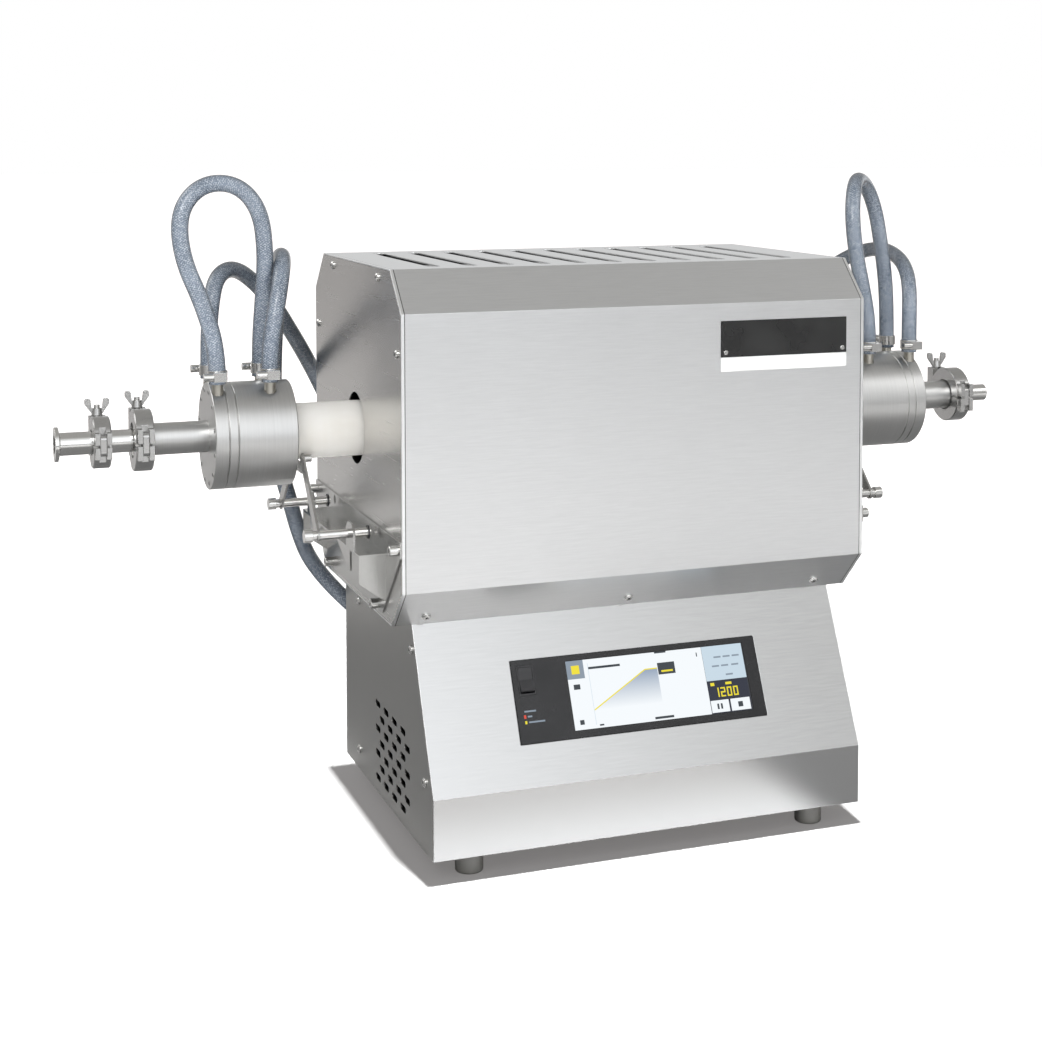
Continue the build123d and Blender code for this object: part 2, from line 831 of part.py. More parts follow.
def clamp_jaws(large):
    """Two half rings with a V groove, their lugs, and the link that hinges them."""
    radius, width, rim_radius, pipe_radius = clamp_sizes(large)
    half = width / 2
    lean = tan(radians(flange_cone))
    mouth = pipe_radius + 1.5
    crown = rim_radius + fit_gap
    groove = ring_gap / 2 + flange_rim + fit_gap
    root = groove + (rim_radius - mouth) * lean
    profile = [
        (-half, mouth), (-root, mouth), (-groove, crown), (groove, crown), (root, mouth),
        (half, mouth), (half, radius - 1), (half - 1, radius), (1 - half, radius),
        (-half, radius - 1),
    ]
    ring = revolve(make_face(Polyline(*[(x, 0, r) for x, r in profile], close=True)), Axis.X)
    pivot_y, pivot_z = clamp_pivot(large)
    seat = nut_seat(large)
    lug = clamp_lug_width / 2
    outer_y = pivot_y + 5.5
    inner_y = crown + 2
    slot = clamp_bolt_radius + fit_gap
    upper_lug = block((-lug, lug), (inner_y, outer_y), (clamp_split / 2, pivot_z + seat))
    dome = Cylinder(seat - fit_gap, width, rotation=(0, 90, 0))
    upper_lug &= Pos(0, pivot_y, pivot_z) * dome
    lower_lug = block((-lug, lug), (inner_y, outer_y), (2 * pivot_z, -clamp_split / 2))
    ear_y = -radius - 4.5
    link_pin = radius / 4
    ears = block((-lug, lug), (ear_y, -crown - 2), (-2 * link_pin, 2 * link_pin))
    jaws = ring + upper_lug + lower_lug + ears
    jaws -= block((-slot, slot), (crown + 1.5, 3 * radius), (-3 * radius, 3 * radius))
    jaws -= block((-slot, slot), (-3 * radius, -crown - 1.5), (-3 * radius, 3 * radius))
    jaws -= block((-radius, radius), (-3 * radius, 3 * radius), span(0, clamp_split))
    jaws += Pos(0, pivot_y, pivot_z) * Cylinder(
        clamp_pivot_radius, clamp_lug_width, rotation=(0, 90, 0)
    )
    pin_y = -radius - 0.5
    link = SlotCenterToCenter(2 * link_pin, 2 * (clamp_pivot_radius + 1.6), rotation=90)
    link = extrude(Plane.YZ * (Pos(pin_y, 0) * link), amount=clamp_bolt_radius, both=True)
    for side in (-1, 1):
        place = Pos(0, pin_y, side * link_pin)
        jaws += place * Cylinder(clamp_pivot_radius, clamp_lug_width, rotation=(0, 90, 0))
        link -= place * Cylinder(
            clamp_pivot_radius + pin_running_clearance, clamp_lug_width, rotation=(0, 90, 0)
        )
    return group(jaws, link)


def swing_bolt(large):
    """Eye bolt that stands up through the lugs."""
    pivot_y, pivot_z = clamp_pivot(large)
    top = nut_seat(large) + nut_height + 3
    shaft = Pos(0, 0, top / 2) * Cylinder(clamp_bolt_radius, top)
    eye = Cylinder(clamp_pivot_radius + 2.2, 2 * clamp_bolt_radius - 0.6, rotation=(0, 90, 0))
    bore = Cylinder(clamp_pivot_radius + pin_running_clearance, clamp_lug_width, rotation=(0, 90, 0))
    return Pos(0, pivot_y, pivot_z) * (shaft + eye - bore)


def wing_nut(large):
    """Round nut with two wings, on the swing bolt's thread."""
    pivot_y, pivot_z = clamp_pivot(large)
    low = nut_seat(large)
    nut = Pos(0, 0, low + nut_height / 2) * Cone(nut_radius, nut_radius - 0.8, nut_height)
    outline = [
        (2, 0.8), (nut_radius - 0.6, 0.8), (wing_span, wing_rise - wing_width),
        (wing_span, wing_rise), (wing_span - wing_width, wing_rise),
        (wing_span - wing_width - 1, nut_height), (2, nut_height - 1),
    ]
    wire = Polyline(*[(x, 0, low + z) for x, z in outline], close=True)
    wing = extrude(make_face(wire), amount=wing_thickness / 2, both=True, dir=(0, 1, 0))
    rounded = wing.edges().filter_by(Axis.Y).sort_by(Axis.X)[-3:]
    wing = fillet(rounded, 2)
    nut += [wing, mirror(wing, about=Plane.YZ)]
    height = low + wing_rise
    nut -= Pos(0, 0, height) * Cylinder(clamp_bolt_radius + pin_running_clearance, 2 * height)
    return Pos(0, pivot_y, pivot_z) * nut


# ---- Tube supports
def bracket():
    """Left bracket: a wall plate, a shelf on two gussets and a guide tab for each rod."""
    low, high = housing_low + bracket_low, housing_low + bracket_top
    bend = low + bracket_high_y - bracket_low_y
    outline = [
        (-bracket_low_y, low), (bracket_low_y, low), (bracket_high_y, bend),
        (bracket_high_y, high), (-bracket_high_y, high), (-bracket_high_y, bend),
    ]
    plate = prism_x(outline, -wall_face - bracket_sheet, -wall_face)
    outer = -wall_face - shelf_reach
    plate += block(
        (outer, -wall_face), (-shelf_front, shelf_front), (shelf_z - shelf_sheet, shelf_z)
    )
    profile = [
        (-wall_face, shelf_z), (outer, shelf_z), (outer, shelf_z - gusset_drop),
        (-wall_face - gusset_toe_reach, shelf_z - gusset_toe_drop),
        (-wall_face, shelf_z - gusset_wall_drop),
    ]
    for side in (-1, 1):
        wire = Polyline(*[(x, side * shelf_front, z) for x, z in profile], close=True)
        plate += extrude(make_face(wire), amount=shelf_sheet, dir=(0, -side, 0))
        tab = block(
            (outer, outer + tab_sheet),
            span(side * rod_y, tab_width),
            (shelf_z - shelf_sheet, rod_z + 2.4 * rod_radius),
        )
        plate += chamfer(tab.edges().filter_by(Axis.X).group_by(Axis.Z)[-1], tab_width / 4)
        flap = [
            (side * rod_y, shelf_z - shelf_sheet), (side * rod_y, shelf_z - flap_drop),
            (side * flap_end, shelf_z - shelf_sheet),
        ]
        plate += prism_x(flap, outer, outer + tab_sheet)
        plate -= rod_x(rod_radius + rod_slide_clearance, outer - 1, -wall_face, side * rod_y, rod_z)
    return plate


def support_rods():
    """Two polished slide rods with a cap on each outer end."""
    rods = []
    for side in (-1, 1):
        y = side * rod_y
        rod = rod_x(rod_radius, -rod_outer_x, -rod_inner_x, y, rod_z)
        rod += rod_x(rod_cap_radius, -rod_outer_x, -rod_outer_x + rod_cap_length, y, rod_z)
        rods.append(rod)
    return group(*rods)


def rod_clips():
    """Retaining clips on the rods' inner ends."""
    clips = []
    high = -rod_inner_x - clip_inset
    for side in (-1, 1):
        clip = rod_x(clip_radius, high - clip_thickness, high, side * rod_y, rod_z)
        clip -= rod_x(rod_radius + rod_slide_clearance, high - 5, high + 5, side * rod_y, rod_z)
        clips.append(clip)
    return group(*clips)


def roller_place():
    """(y, z) of the roller pin that the tube rests on, on the rear side."""
    reach = tube_radius + roller_gap + roller_radius
    angle = radians(roller_angle)
    return reach * sin(angle), tube_z - reach * cos(angle)


def saddle():
    """Plate with two legs from the rods up to the roller pins under the tube."""
    pin_y, pin_z = roller_place()
    low_x, high_x = -saddle_x - saddle_sheet, -saddle_x
    bar_top = tube_z - tube_radius - saddle_tube_clearance
    plate = block((low_x, high_x), (-pin_y, pin_y), (bar_top - saddle_bar_height, bar_top))
    length = sqrt((rod_y - pin_y) ** 2 + (pin_z - rod_z) ** 2)
    tilt = degrees(asin((pin_z - rod_z) / length))
    leg = SlotCenterToCenter(length, saddle_leg_width)
    wall = Plane(origin=(low_x, 0, 0), x_dir=(0, 1, 0), z_dir=(1, 0, 0))
    for side in (-1, 1):
        middle = Pos(side * (rod_y + pin_y) / 2, (rod_z + pin_z) / 2) * Rot(0, 0, -side * tilt)
        plate += extrude(wall * (middle * leg), amount=saddle_sheet)
    clear = tube_radius + saddle_tube_clearance
    plate -= rod_x(clear, low_x - 1, high_x + 1)
    for side in (-1, 1):
        plate -= rod_x(
            rod_radius + rod_slide_clearance, low_x - 1, high_x + 1, side * rod_y, rod_z
        )
        plate += rod_x(roller_radius, low_x, low_x + roller_length, side * pin_y, pin_z)
    return plate


# ---- Cooling water
def hose_nipples():
    """Nipples on both flanges and on the manifold, each under the end of a hose."""
    nipples = []
    for x in (-nipple_xs[1], -nipple_xs[0], nipple_xs[0], nipple_xs[1]):
        for y in (-nipple_spread, nipple_spread):
            middle = nipple_top - nipple_height / 2
            nipples.append(Pos(x, y, middle) * Cylinder(nipple_radius, nipple_height))
    for side in (-1, 1):
        middle = manifold_top + manifold_nipple_height / 2
        nipples.append(
            Pos(side * manifold_nipple_x, manifold_y, middle)
            * Cylinder(nipple_radius, manifold_nipple_height)
        )
        near, far = sorted((manifold_half_length * side, (manifold_half_length + end_nipple_length) * side))
        nipples.append(rod_x(nipple_radius, near, far, manifold_y, return_z))
    return group(*nipples)


def hose_clamp(worm_side):
    """Worm-drive band about the Z axis, with its screw beside it."""
    inner = hose_radius + hose_clamp_gap
    outer = inner + hose_clamp_sheet
    band = Cylinder(outer, hose_clamp_width) - Cylinder(inner, hose_clamp_width)
    y = worm_side * (outer + worm_radius - 0.6)
    housing = block(span(0, 11), span(y, 2 * worm_radius), span(0, hose_clamp_width - 1))
    housing -= Cylinder(inner, hose_clamp_width)
    screw = Pos(-4, y, 0) * Cylinder(worm_radius - 0.8, worm_length, rotation=(0, 90, 0))
    return band + housing + screw


def hose_clamps():
    """A clamp on every hose end."""
    clamps = []
    height = nipple_top + hose_clamp_lift + hose_clamp_width / 2
    for x in (-nipple_xs[1], -nipple_xs[0], nipple_xs[0], nipple_xs[1]):
        for side in (-1, 1):
            clamps.append(Pos(x, side * nipple_spread, height) * hose_clamp(side))
    return group(*clamps)


def water_manifold():
    """Block with a supply and a return channel and two threaded ports at the rear."""
    half = manifold_half_length
    rear = base_rear + manifold_depth
    body = block((-half, half), (base_rear, rear), (manifold_low, manifold_top))
    body = chamfer(body.edges().filter_by(Axis.X).group_by(Axis.Y)[-1], 2)
    channel_end = manifold_nipple_x + channel_radius
    body -= rod_x(channel_radius, -channel_end, channel_end, manifold_y, supply_z)
    body -= rod_x(channel_radius, -half, half, manifold_y, return_z)
    for side in (-1, 1):
        drill = Cylinder(drill_radius, manifold_top - supply_z)
        body -= Pos(side * manifold_nipple_x, manifold_y, (manifold_top + supply_z) / 2) * drill
    for x, z in ((-port_x, supply_z), (port_x, return_z)):
        port = Cylinder(port_radius, port_depth, rotation=(90, 0, 0))
        body -= Pos(x, rear - port_depth / 2, z) * port
        drill = Cylinder(drill_radius, rear - port_depth - manifold_y, rotation=(90, 0, 0))
        body -= Pos(x, (rear - port_depth + manifold_y) / 2, z) * drill
    return body


def share(value, low, high):
    """How far a value is from low to high, kept between 0 and 1."""
    return min(1, max(0, (value - low) / (high - low)))


def carried(point):
    """A hose's point, moved along with the housing's end, rear, floor and tube."""
    x, y, z = point
    out = (half_width - laid_half_width) * share(abs(x), 120, laid_half_width)
    back = (half_depth - laid_half_depth) * share(y, 60, 100) * share(z, 190, 230)
    up = (housing_low - laid_floor) * share(z, 164, 240)
    up += (tube_height - laid_tube_height) * share(z, 280, 400)
    return Vector(x + out * x / abs(x), y + back, z + up)


def hose(name, route):
    """A round hose along straight runs joined by arcs, and its printed measures."""
    points = [carried(point) for point in route]
    runs = [(after - before) for before, after in zip(points, points[1:])]
    radii = []
    for before, after in zip(runs, runs[1:]):
        half_turn = radians(before.get_angle(after)) / 2
        radii.append(0.45 * min(before.length, after.length) / tan(half_turn))
    path = FilletPolyline(*points, radius=radii)
    section = Plane(origin=points[0], z_dir=runs[0]) * Circle(hose_radius)
    tube = sweep(section, path=path)
    expected = pi * hose_radius**2 * path.length
    print(name, "length", round(path.length), "tightest radius", round(min(radii), 1),
          "radii", [round(radius) for radius in radii],
          "volume ratio", round(tube.volume / expected, 4))
    return tube


# ---- Screws
def button_screw():
    """Domed head about the Z axis, with its seat at z = 0."""
    head = Pos(0, 0, button_height / 2) * Cylinder(button_radius, button_height)
    return chamfer(head.edges().group_by(Axis.Z)[-1], button_height / 2)


def button_screws():
    """Screws of the side panels, the housing's lower chamfer and the cabinet."""
    head = button_screw()
    screws = []
    for inset, drop in panel_screws:
        for y in (inset - half_depth, half_depth - inset):
            seat = Plane(origin=(-half_width, y, housing_top - drop), z_dir=(-1, 0, 0))
            screws.append(seat * head)
    for back, rise in cabinet_screws:
        place = (-base_width / 2, back - base_front, base_low + rise)
        screws.append(Plane(origin=place, z_dir=(-1, 0, 0)) * head)
    screws += [mirrored(screw) for screw in screws]
    middle_drop = housing_chamfer / 4
    left, right = chamfer_screw_insets
    for x in (left - half_width, chamfer_screw_middle, half_width - right):
        place = (x, -half_depth + housing_chamfer - middle_drop, housing_low + middle_drop)
        screws.append(Plane(origin=place, z_dir=(0, -1, -1)) * head)
    far = base_width / 2 - rear_screw_inset
    for x in (-far, far):
        for z in (base_low + rear_screw_inset, base_top - rear_screw_inset):
            screws.append(Plane(origin=(x, base_rear, z), z_dir=(0, 1, 0)) * head)
    return group(*screws)


def cap_screw():
    """Socket-head screw about the Z axis, with its seat at z = 0."""
    head = Pos(0, 0, cap_height / 2) * Cylinder(cap_radius, cap_height)
    head = chamfer(head.edges().group_by(Axis.Z)[-1], 0.6)
    socket = extrude(RegularPolygon(cap_socket_radius, 6), amount=cap_socket_depth)
    return head - Pos(0, 0, cap_height - cap_socket_depth) * socket


def cap_screws():
    """Four socket-head screws through each bracket and two through the manifold."""
    head = cap_screw()
    screws = []
    high = (half_depth - bracket_screw_inset, bracket_top - bracket_screw_inset)
    low = (bracket_low_y - bracket_screw_low[0], bracket_low + bracket_screw_low[1])
    for y, rise in (high, low):
        for side in (-1, 1):
            place = (-wall_face - bracket_sheet, side * y, housing_low + rise)
            screws.append(Plane(origin=place, z_dir=(-1, 0, 0)) * head)
    screws += [mirrored(screw) for screw in screws]
    far = manifold_half_length - manifold_screw_inset
    for x in (-far, far):
        place = (x, base_rear + manifold_depth, manifold_low + manifold_height / 2)
        screws.append(Plane(origin=place, z_dir=(0, 1, 0)) * head)
    return group(*screws)


def build():
    """Every sub-part by its node's name."""
    nodes = {
        "base_cabinet": base_cabinet(),
        "front_panel": front_panel(),
        "rear_panel": rear_panel(),
        "feet": feet(),
        "control_panel": control_panel(),
        "touch_screen": touch_screen(),
        "controller_housing": controller_housing(),
        "switch_frame": switch_frame(),
        "power_rocker": power_rocker(),
        "power_relay": power_relay(),
        "mains_inlet": mains_inlet(),
        "housing_cover": housing_cover(),
        "left_side_panel": side_panel(),
        "right_side_panel": mirrored(side_panel()),
        "inner_casing": inner_casing(),
        "insulation_halves": insulation_halves(),
        "heating_rods": heating_rods(),
        "tube_collars": tube_collars(),
        "thermocouple": thermocouple(),
        "work_tube": work_tube(),
        "left_flange_body": mirrored(flange_body()),
        "right_flange_body": flange_body(),
        "flange_rings": group(mirrored(flange_ring()), flange_ring()),
        "seal_rings": group(mirrored(seal_ring()), seal_ring()),
        "left_flange_end": mirrored(flange_end()),
        "right_flange_end": flange_end(),
        "left_port_adapter": port_adapter(),
        "left_open_port": open_port(),
        "right_gas_fitting": gas_fitting(),
        "hose_nipples": hose_nipples(),
        "hose_clamps": hose_clamps(),
        "water_manifold": water_manifold(),
        "button_screws": button_screws(),
        "cap_screws": cap_screws(),
    }
    large_ring = centring_ring(large_clamp_x, gas_pipe_radius - pipe_wall, large_flange_radius - 3)
    small_ring = centring_ring(-small_clamp_x, small_pipe_radius - pipe_wall, small_flange_radius - 3)
    nodes["centring_rings"] = group(mirrored(large_ring), large_ring, small_ring)

    supports = {
        "bracket": bracket(),
        "support_rods": support_rods(),
        "rod_clips": rod_clips(),
        "saddle": saddle(),
    }
    for name, piece in supports.items():
        nodes["left_" + name] = piece
        nodes["right_" + name] = mirrored(piece)

    clamp_places = {
        "left_large_clamp": (-large_clamp_x, True),
        "left_small_clamp": (-small_clamp_x, False),
        "right_large_clamp": (large_clamp_x, True),
    }
    for name, (x, large) in clamp_places.items():
        place = Pos(x, 0, tube_z)
        nodes[name + "_jaws"] = place * clamp_jaws(large)
        nodes[name + "_bolt"] = place * swing_bolt(large)
        nodes[name + "_nut"] = place * wing_nut(large)

    routes = {
        "left_loop_hose": left_loop_route,
        "left_supply_hose": left_supply_route,
        "left_return_hose": left_return_route,
        "right_loop_hose": right_loop_route,
        "right_supply_hose": right_supply_route,
        "right_return_hose": right_return_route,
    }
    for name, route in routes.items():
        nodes[name] = hose(name, route)
    return nodes


os.makedirs("parts", exist_ok=True)
to_origin = Pos(-origin_x, -origin_y, 0)
for node, shape in build().items():
    export_step(to_origin * shape, "parts/" + node + ".step")
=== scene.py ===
import json
from math import cos, pi, radians, sin

import bmesh
import bpy
from mathutils import Matrix, Vector

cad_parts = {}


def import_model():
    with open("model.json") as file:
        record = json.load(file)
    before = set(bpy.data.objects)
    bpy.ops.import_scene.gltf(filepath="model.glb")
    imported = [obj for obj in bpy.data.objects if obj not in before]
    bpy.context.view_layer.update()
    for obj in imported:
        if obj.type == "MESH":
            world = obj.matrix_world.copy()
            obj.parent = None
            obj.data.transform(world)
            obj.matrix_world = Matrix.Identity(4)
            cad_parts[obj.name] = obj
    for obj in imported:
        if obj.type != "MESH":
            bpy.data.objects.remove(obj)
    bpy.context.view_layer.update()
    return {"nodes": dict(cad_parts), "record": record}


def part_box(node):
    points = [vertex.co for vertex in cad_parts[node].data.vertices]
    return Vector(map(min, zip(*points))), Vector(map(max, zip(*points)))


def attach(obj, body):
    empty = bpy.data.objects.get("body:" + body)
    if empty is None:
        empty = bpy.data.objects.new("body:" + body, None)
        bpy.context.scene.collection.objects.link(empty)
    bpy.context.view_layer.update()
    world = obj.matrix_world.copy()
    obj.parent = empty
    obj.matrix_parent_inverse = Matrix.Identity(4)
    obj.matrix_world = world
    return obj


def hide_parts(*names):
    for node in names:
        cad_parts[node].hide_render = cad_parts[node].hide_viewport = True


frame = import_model()
nodes = frame["nodes"]
mounts = {mount["name"]: mount for mount in frame["record"]["mounts"]}

# The part is drawn with its zero in the middle of the housing; the frame's origin is the
# middle of the footprint. Places below are in millimetres until to_frame() turns them, and so
# is what is drawn on the slope. Radii, thicknesses, lamps, floor and materials are in metres.
middle_x = (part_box("left_side_panel")[0].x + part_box("right_side_panel")[1].x) / 2
axis_y = mounts["gas_outlet"]["pos_m"][1]


def to_frame(x, y, z):
    return Vector((x / 1000 + middle_x, y / 1000 + axis_y, z / 1000))


# ---------------------------------------------------------------- materials
class Graph:
    """Short calls that add nodes to a node tree."""

    def __init__(self, tree):
        self.tree = tree

    def node(self, kind, inputs=None, **settings):
        made = self.tree.nodes.new("ShaderNode" + kind)
        for key, value in settings.items():
            setattr(made, key, value)
        for key, value in (inputs or {}).items():
            if isinstance(value, bpy.types.NodeSocket):
                self.tree.links.new(value, made.inputs[key])
            else:
                made.inputs[key].default_value = value
        return made

    def axes(self, vector):
        return self.node("SeparateXYZ", {0: vector}).outputs

    def span(self, value, low, high, start=0.0, end=1.0):
        """Runs from low, where the value is start, to high, where it is end, and stays there."""
        made = self.node(
            "MapRange",
            {"Value": value, "From Min": start, "From Max": end, "To Min": low, "To Max": high},
        )
        return made.outputs[0]

    def maths(self, operation, a, b=0.0):
        return self.node("Math", {0: a, 1: b}, operation=operation).outputs[0]

    def product(self, first, *others):
        for other in others:
            first = self.maths("MULTIPLY", first, other)
        return first

    def mix(self, factor, a, b, kind="MIX", clamp=True):
        made = self.node("Mix", data_type="RGBA", blend_type=kind, clamp_factor=clamp)
        for index, value in ((0, factor), (6, a), (7, b)):
            if isinstance(value, bpy.types.NodeSocket):
                self.tree.links.new(value, made.inputs[index])
            else:
                made.inputs[index].default_value = value if index == 0 else (*value, 1)
        return made.outputs[2]


class Paint(Graph):
    """A material; its own calls read coordinates, make noise and feed its shader."""

    def __init__(self, name, colour, roughness, metallic=0.0, **sockets):
        self.material = bpy.data.materials.new(name)
        self.material.use_nodes = True
        super().__init__(self.material.node_tree)
        self.shader = self.tree.nodes["Principled BSDF"]
        self.shader.inputs["Base Color"].default_value = (*colour, 1)
        self.shader.inputs["Roughness"].default_value = roughness
        self.shader.inputs["Metallic"].default_value = metallic
        for socket, value in sockets.items():
            self.shader.inputs[socket.replace("_", " ")].default_value = value
        self.material.diffuse_color = (*colour, 1)

    def coordinates(self, output):
        return self.node("TexCoord").outputs[output]

    def place(self, scale):
        return self.node("Mapping", {"Vector": self.coordinates("Object"), "Scale": scale}).outputs[0]

    def noise(self, scale, detail=3.0, roughness=0.5):
        made = self.node("TexNoise", {
            "Vector": self.place(scale), "Scale": 1.0, "Detail": detail, "Roughness": roughness,
        })
        return made.outputs["Fac"]

    def into(self, socket, value):
        self.tree.links.new(value, self.shader.inputs[socket])

    def bump(self, height, strength, distance, edge=0.0):
        """Relief from a height; edge is the radius to which sharp edges look rounded."""
        inputs = {"Height": height, "Strength": strength, "Distance": distance}
        if edge:
            inputs["Normal"] = self.node("Bevel", {"Radius": edge}, samples=6).outputs[0]
        self.into("Normal", self.node("Bump", inputs).outputs[0])


seam_dark = (0.1, 0.1, 0.1)
fold_highlight = (0.96, 0.965, 0.97)


def grained_metal(name, colour, roughness, grain, depth=0.03, contrast=0.06, spread=0.015,
                  edge=0.0005, hem=None):
    """Metal with a fine grain.

    grain holds the noise's scale along each axis, depth the strength of its relief, contrast
    how far it moves the colour and spread how far it moves the roughness. hem holds the shares
    of the width, from each end, where a folded edge and its seam end; the folded edge is painted
    lighter, a painted highlight on its bend.
    """
    paint = Paint(name, colour, roughness, 1.0)
    fine = paint.noise(grain, 4.0, 0.65)
    cloud = paint.noise((9, 9, 9), 2.0)
    dark = tuple(channel * (1 - contrast) for channel in colour)
    light = tuple(min(1.0, channel * (1 + contrast)) for channel in colour)
    streaks = paint.mix(paint.span(fine, 0, 1, 0.3, 0.7), dark, light)
    shade = paint.mix(paint.span(cloud, 0, 0.35, 0.3, 0.8), streaks, dark)
    if hem:
        across = paint.axes(paint.coordinates("Generated"))[0]
        off = paint.maths("ABSOLUTE", paint.maths("SUBTRACT", across, 0.5))
        # The seam is a dark joint; the folded edge outside it gets a painted highlight
        for share, tone in zip(reversed(hem), (seam_dark, fold_highlight)):
            shade = paint.mix(paint.maths("GREATER_THAN", off, 0.5 - share), shade, tone)
    paint.into("Base Color", shade)
    paint.into("Roughness", paint.span(fine, roughness - spread, roughness + spread, 0.3, 0.7))
    paint.bump(fine, depth, 0.0004, edge)
    return paint.material


def plain(name, colour, roughness, speckle=1500.0, depth=0.08, metallic=0.0, **sockets):
    """Moulded plastic or rubber with a fine skin."""
    paint = Paint(name, colour, roughness, metallic, **sockets)
    skin = paint.noise((speckle,) * 3, 2.0)
    cloud = paint.noise((30, 30, 30), 2.0)
    lighter = tuple(min(1.0, channel * 1.25 + 0.004) for channel in colour)
    paint.into("Base Color", paint.mix(paint.span(cloud, 0, 1, 0.35, 0.65), colour, lighter))
    paint.into("Roughness", paint.span(cloud, roughness - 0.05, roughness + 0.05, 0.3, 0.7))
    paint.bump(skin, depth, 0.0003)
    return paint.material


def ceramic_paint():
    paint = Paint("ceramic", (0.9, 0.87, 0.81), 0.45)
    rings = paint.noise((160, 6, 6), 3.0)
    cloud = paint.noise((14, 30, 30), 3.0)
    tone = paint.mix(paint.span(cloud, 0, 1, 0.3, 0.7), (0.88, 0.865, 0.83), (0.82, 0.79, 0.735))
    paint.into("Base Color", paint.mix(paint.span(rings, 0, 0.3, 0.4, 0.8), tone, (0.9, 0.885, 0.86)))
    paint.bump(rings, 0.08, 0.0004)
    return paint.material


thread_turns = 14.0  # threads of the net met once round the hose, in each direction
thread_rate = 440.0  # and along a metre of it
# Painted shade: the hose colour is darkened behind the middle, where less light reaches it
hose_back_shade = (0.03, 0.09)  # between these distances behind the middle, the hose gets darker


def hose_paint(name, pale, deep, thread):
    """Clear hose with a diamond net of threads; its UV holds metres along it and turns round. Its colour
    is painted darker at its rims and further back, as painted shade.
    """
    paint = Paint(name, pale, 0.25, 0.0, Coat_Weight=0.4, Coat_Roughness=0.2)
    along, around = paint.axes(paint.coordinates("UV"))[:2]
    lines = []
    for side in (1, -1):
        phase = paint.maths("ADD", paint.product(around, side * thread_turns),
                            paint.product(along, thread_rate))
        wave = paint.maths("ABSOLUTE", paint.maths("SUBTRACT", paint.maths("FRACT", phase), 0.5))
        lines.append(paint.span(wave, 1.0, 0.0, 0.02, 0.2))
    net = paint.maths("MAXIMUM", *lines)
    cloud = paint.noise((40, 40, 40), 2.0)
    body = paint.mix(paint.span(cloud, 0, 1, 0.3, 0.7), deep, pale)
    fleck = paint.noise((600, 600, 600), 1.0)
    seen = paint.product(net, paint.span(fleck, 0.0, 0.85, 0.38, 0.66))
    # Painted shade: the colour darkens towards the rims, where the hose turns away, and further back
    rim = paint.span(paint.node("LayerWeight", {"Blend": 0.5}).outputs["Facing"], 1.0, 0.36, 0.2, 0.85)
    back = paint.span(paint.axes(paint.place((1, 1, 1)))[1], 1.0, 0.6, *hose_back_shade)
    netted = paint.mix(seen, body, thread)
    paint.into("Base Color", paint.mix(1.0, netted, paint.product(rim, back), "MULTIPLY"))
    paint.bump(net, 0.08, 0.0003)
    return paint.material


steel_front = grained_metal(
    "steel_front", (0.775, 0.78, 0.785), 0.32, (40, 900, 700), depth=0.018, contrast=0.035,
    spread=0.02, edge=0.001, hem=(0.0062, 0.0078),
)
steel_base = grained_metal(
    "steel_base", (0.64, 0.64, 0.638), 0.2, (40, 700, 700), depth=0.018, contrast=0.035,
    spread=0.012, edge=0.001,
)
# Painted shade: this steel is darker than the front panel's, standing in for the shadowed floor its
# sides mirror
shaded_steel_cabinet = grained_metal(
    "shaded_steel_cabinet", (0.41, 0.406, 0.393), 0.3, (60, 60, 60), depth=0.002, contrast=0.02, spread=0.004,
)
steel_side = grained_metal(
    "steel_side", (0.64, 0.632, 0.617), 0.27, (8, 8, 500), depth=0.004, contrast=0.02, spread=0.005,
)
steel_turned = grained_metal("steel_turned", (0.60, 0.598, 0.59), 0.34, (1600, 16, 16), depth=0.05)
steel_sheet = grained_metal(
    "steel_sheet", (0.54, 0.537, 0.525), 0.27, (60, 60, 60), depth=0.002, contrast=0.02, spread=0.003,
)
steel_bright = grained_metal(
    "steel_bright", (0.72, 0.715, 0.70), 0.14, (900, 20, 20), depth=0.01, contrast=0.03, spread=0.006,
)
alloy = grained_metal(
    "alloy", (0.53, 0.527, 0.52), 0.24, (300, 300, 300), depth=0.004, contrast=0.03, spread=0.005,
)
# Black for the rod clips and centring rings; on the socket discs the same black is painted shade
blackened = grained_metal("blackened", (0.05, 0.05, 0.055), 0.35, (400, 400, 400))
brass = grained_metal(
    "nickelled_brass", (0.50, 0.48, 0.43), 0.28, (60, 60, 60), depth=0.004, contrast=0.03, spread=0.005,
)
rod_grey = plain("heating_rod", (0.2, 0.19, 0.18), 0.7)


casing_light = (0.78, 0.78, 0.77)
casing_shade = (0.04, 0.04, 0.04)
casing_glow = 0.16  # stands in for the light that comes in at the slots


def casing_paint():
    """Pale sheet with a weak glow, painted light, where it faces up under the slots, and painted shade,
    dark, elsewhere.
    """
    paint = Paint("casing_sheet", casing_light, 0.6)
    up = paint.axes(paint.node("NewGeometry").outputs["Normal"])[2]
    top = paint.maths("GREATER_THAN", up, 0.9)
    # Painted shade: every face but the upward ones is dark; the upward ones glow as painted light
    paint.into("Base Color", paint.mix(top, casing_shade, casing_light))
    paint.shader.inputs["Emission Color"].default_value = (1, 1, 1, 1)
    paint.into("Emission Strength", paint.product(top, casing_glow))
    return paint.material


casing_pale = casing_paint()
fibre = plain("fibre", (0.9, 0.89, 0.85), 0.95, 600.0, 0.6)
rubber = plain("rubber", (0.05, 0.05, 0.05), 0.6, 900.0, 0.2)
foot_grey = plain("foot_grey", (0.13, 0.127, 0.118), 0.42, 900.0, 0.15)
moulding = plain("black_moulding", (0.02, 0.02, 0.022), 0.45)
panel_black = plain("panel_black", (0.008, 0.008, 0.009), 0.12, 300.0, 0.01)
screen_black = plain("screen_black", (0.006, 0.008, 0.012), 0.06, 300.0, 0.01, Coat_Weight=0.6)
ceramic = ceramic_paint()
hose_clear = hose_paint("hose_clear", (0.225, 0.27, 0.335), (0.13, 0.165, 0.215), (0.72, 0.77, 0.84))

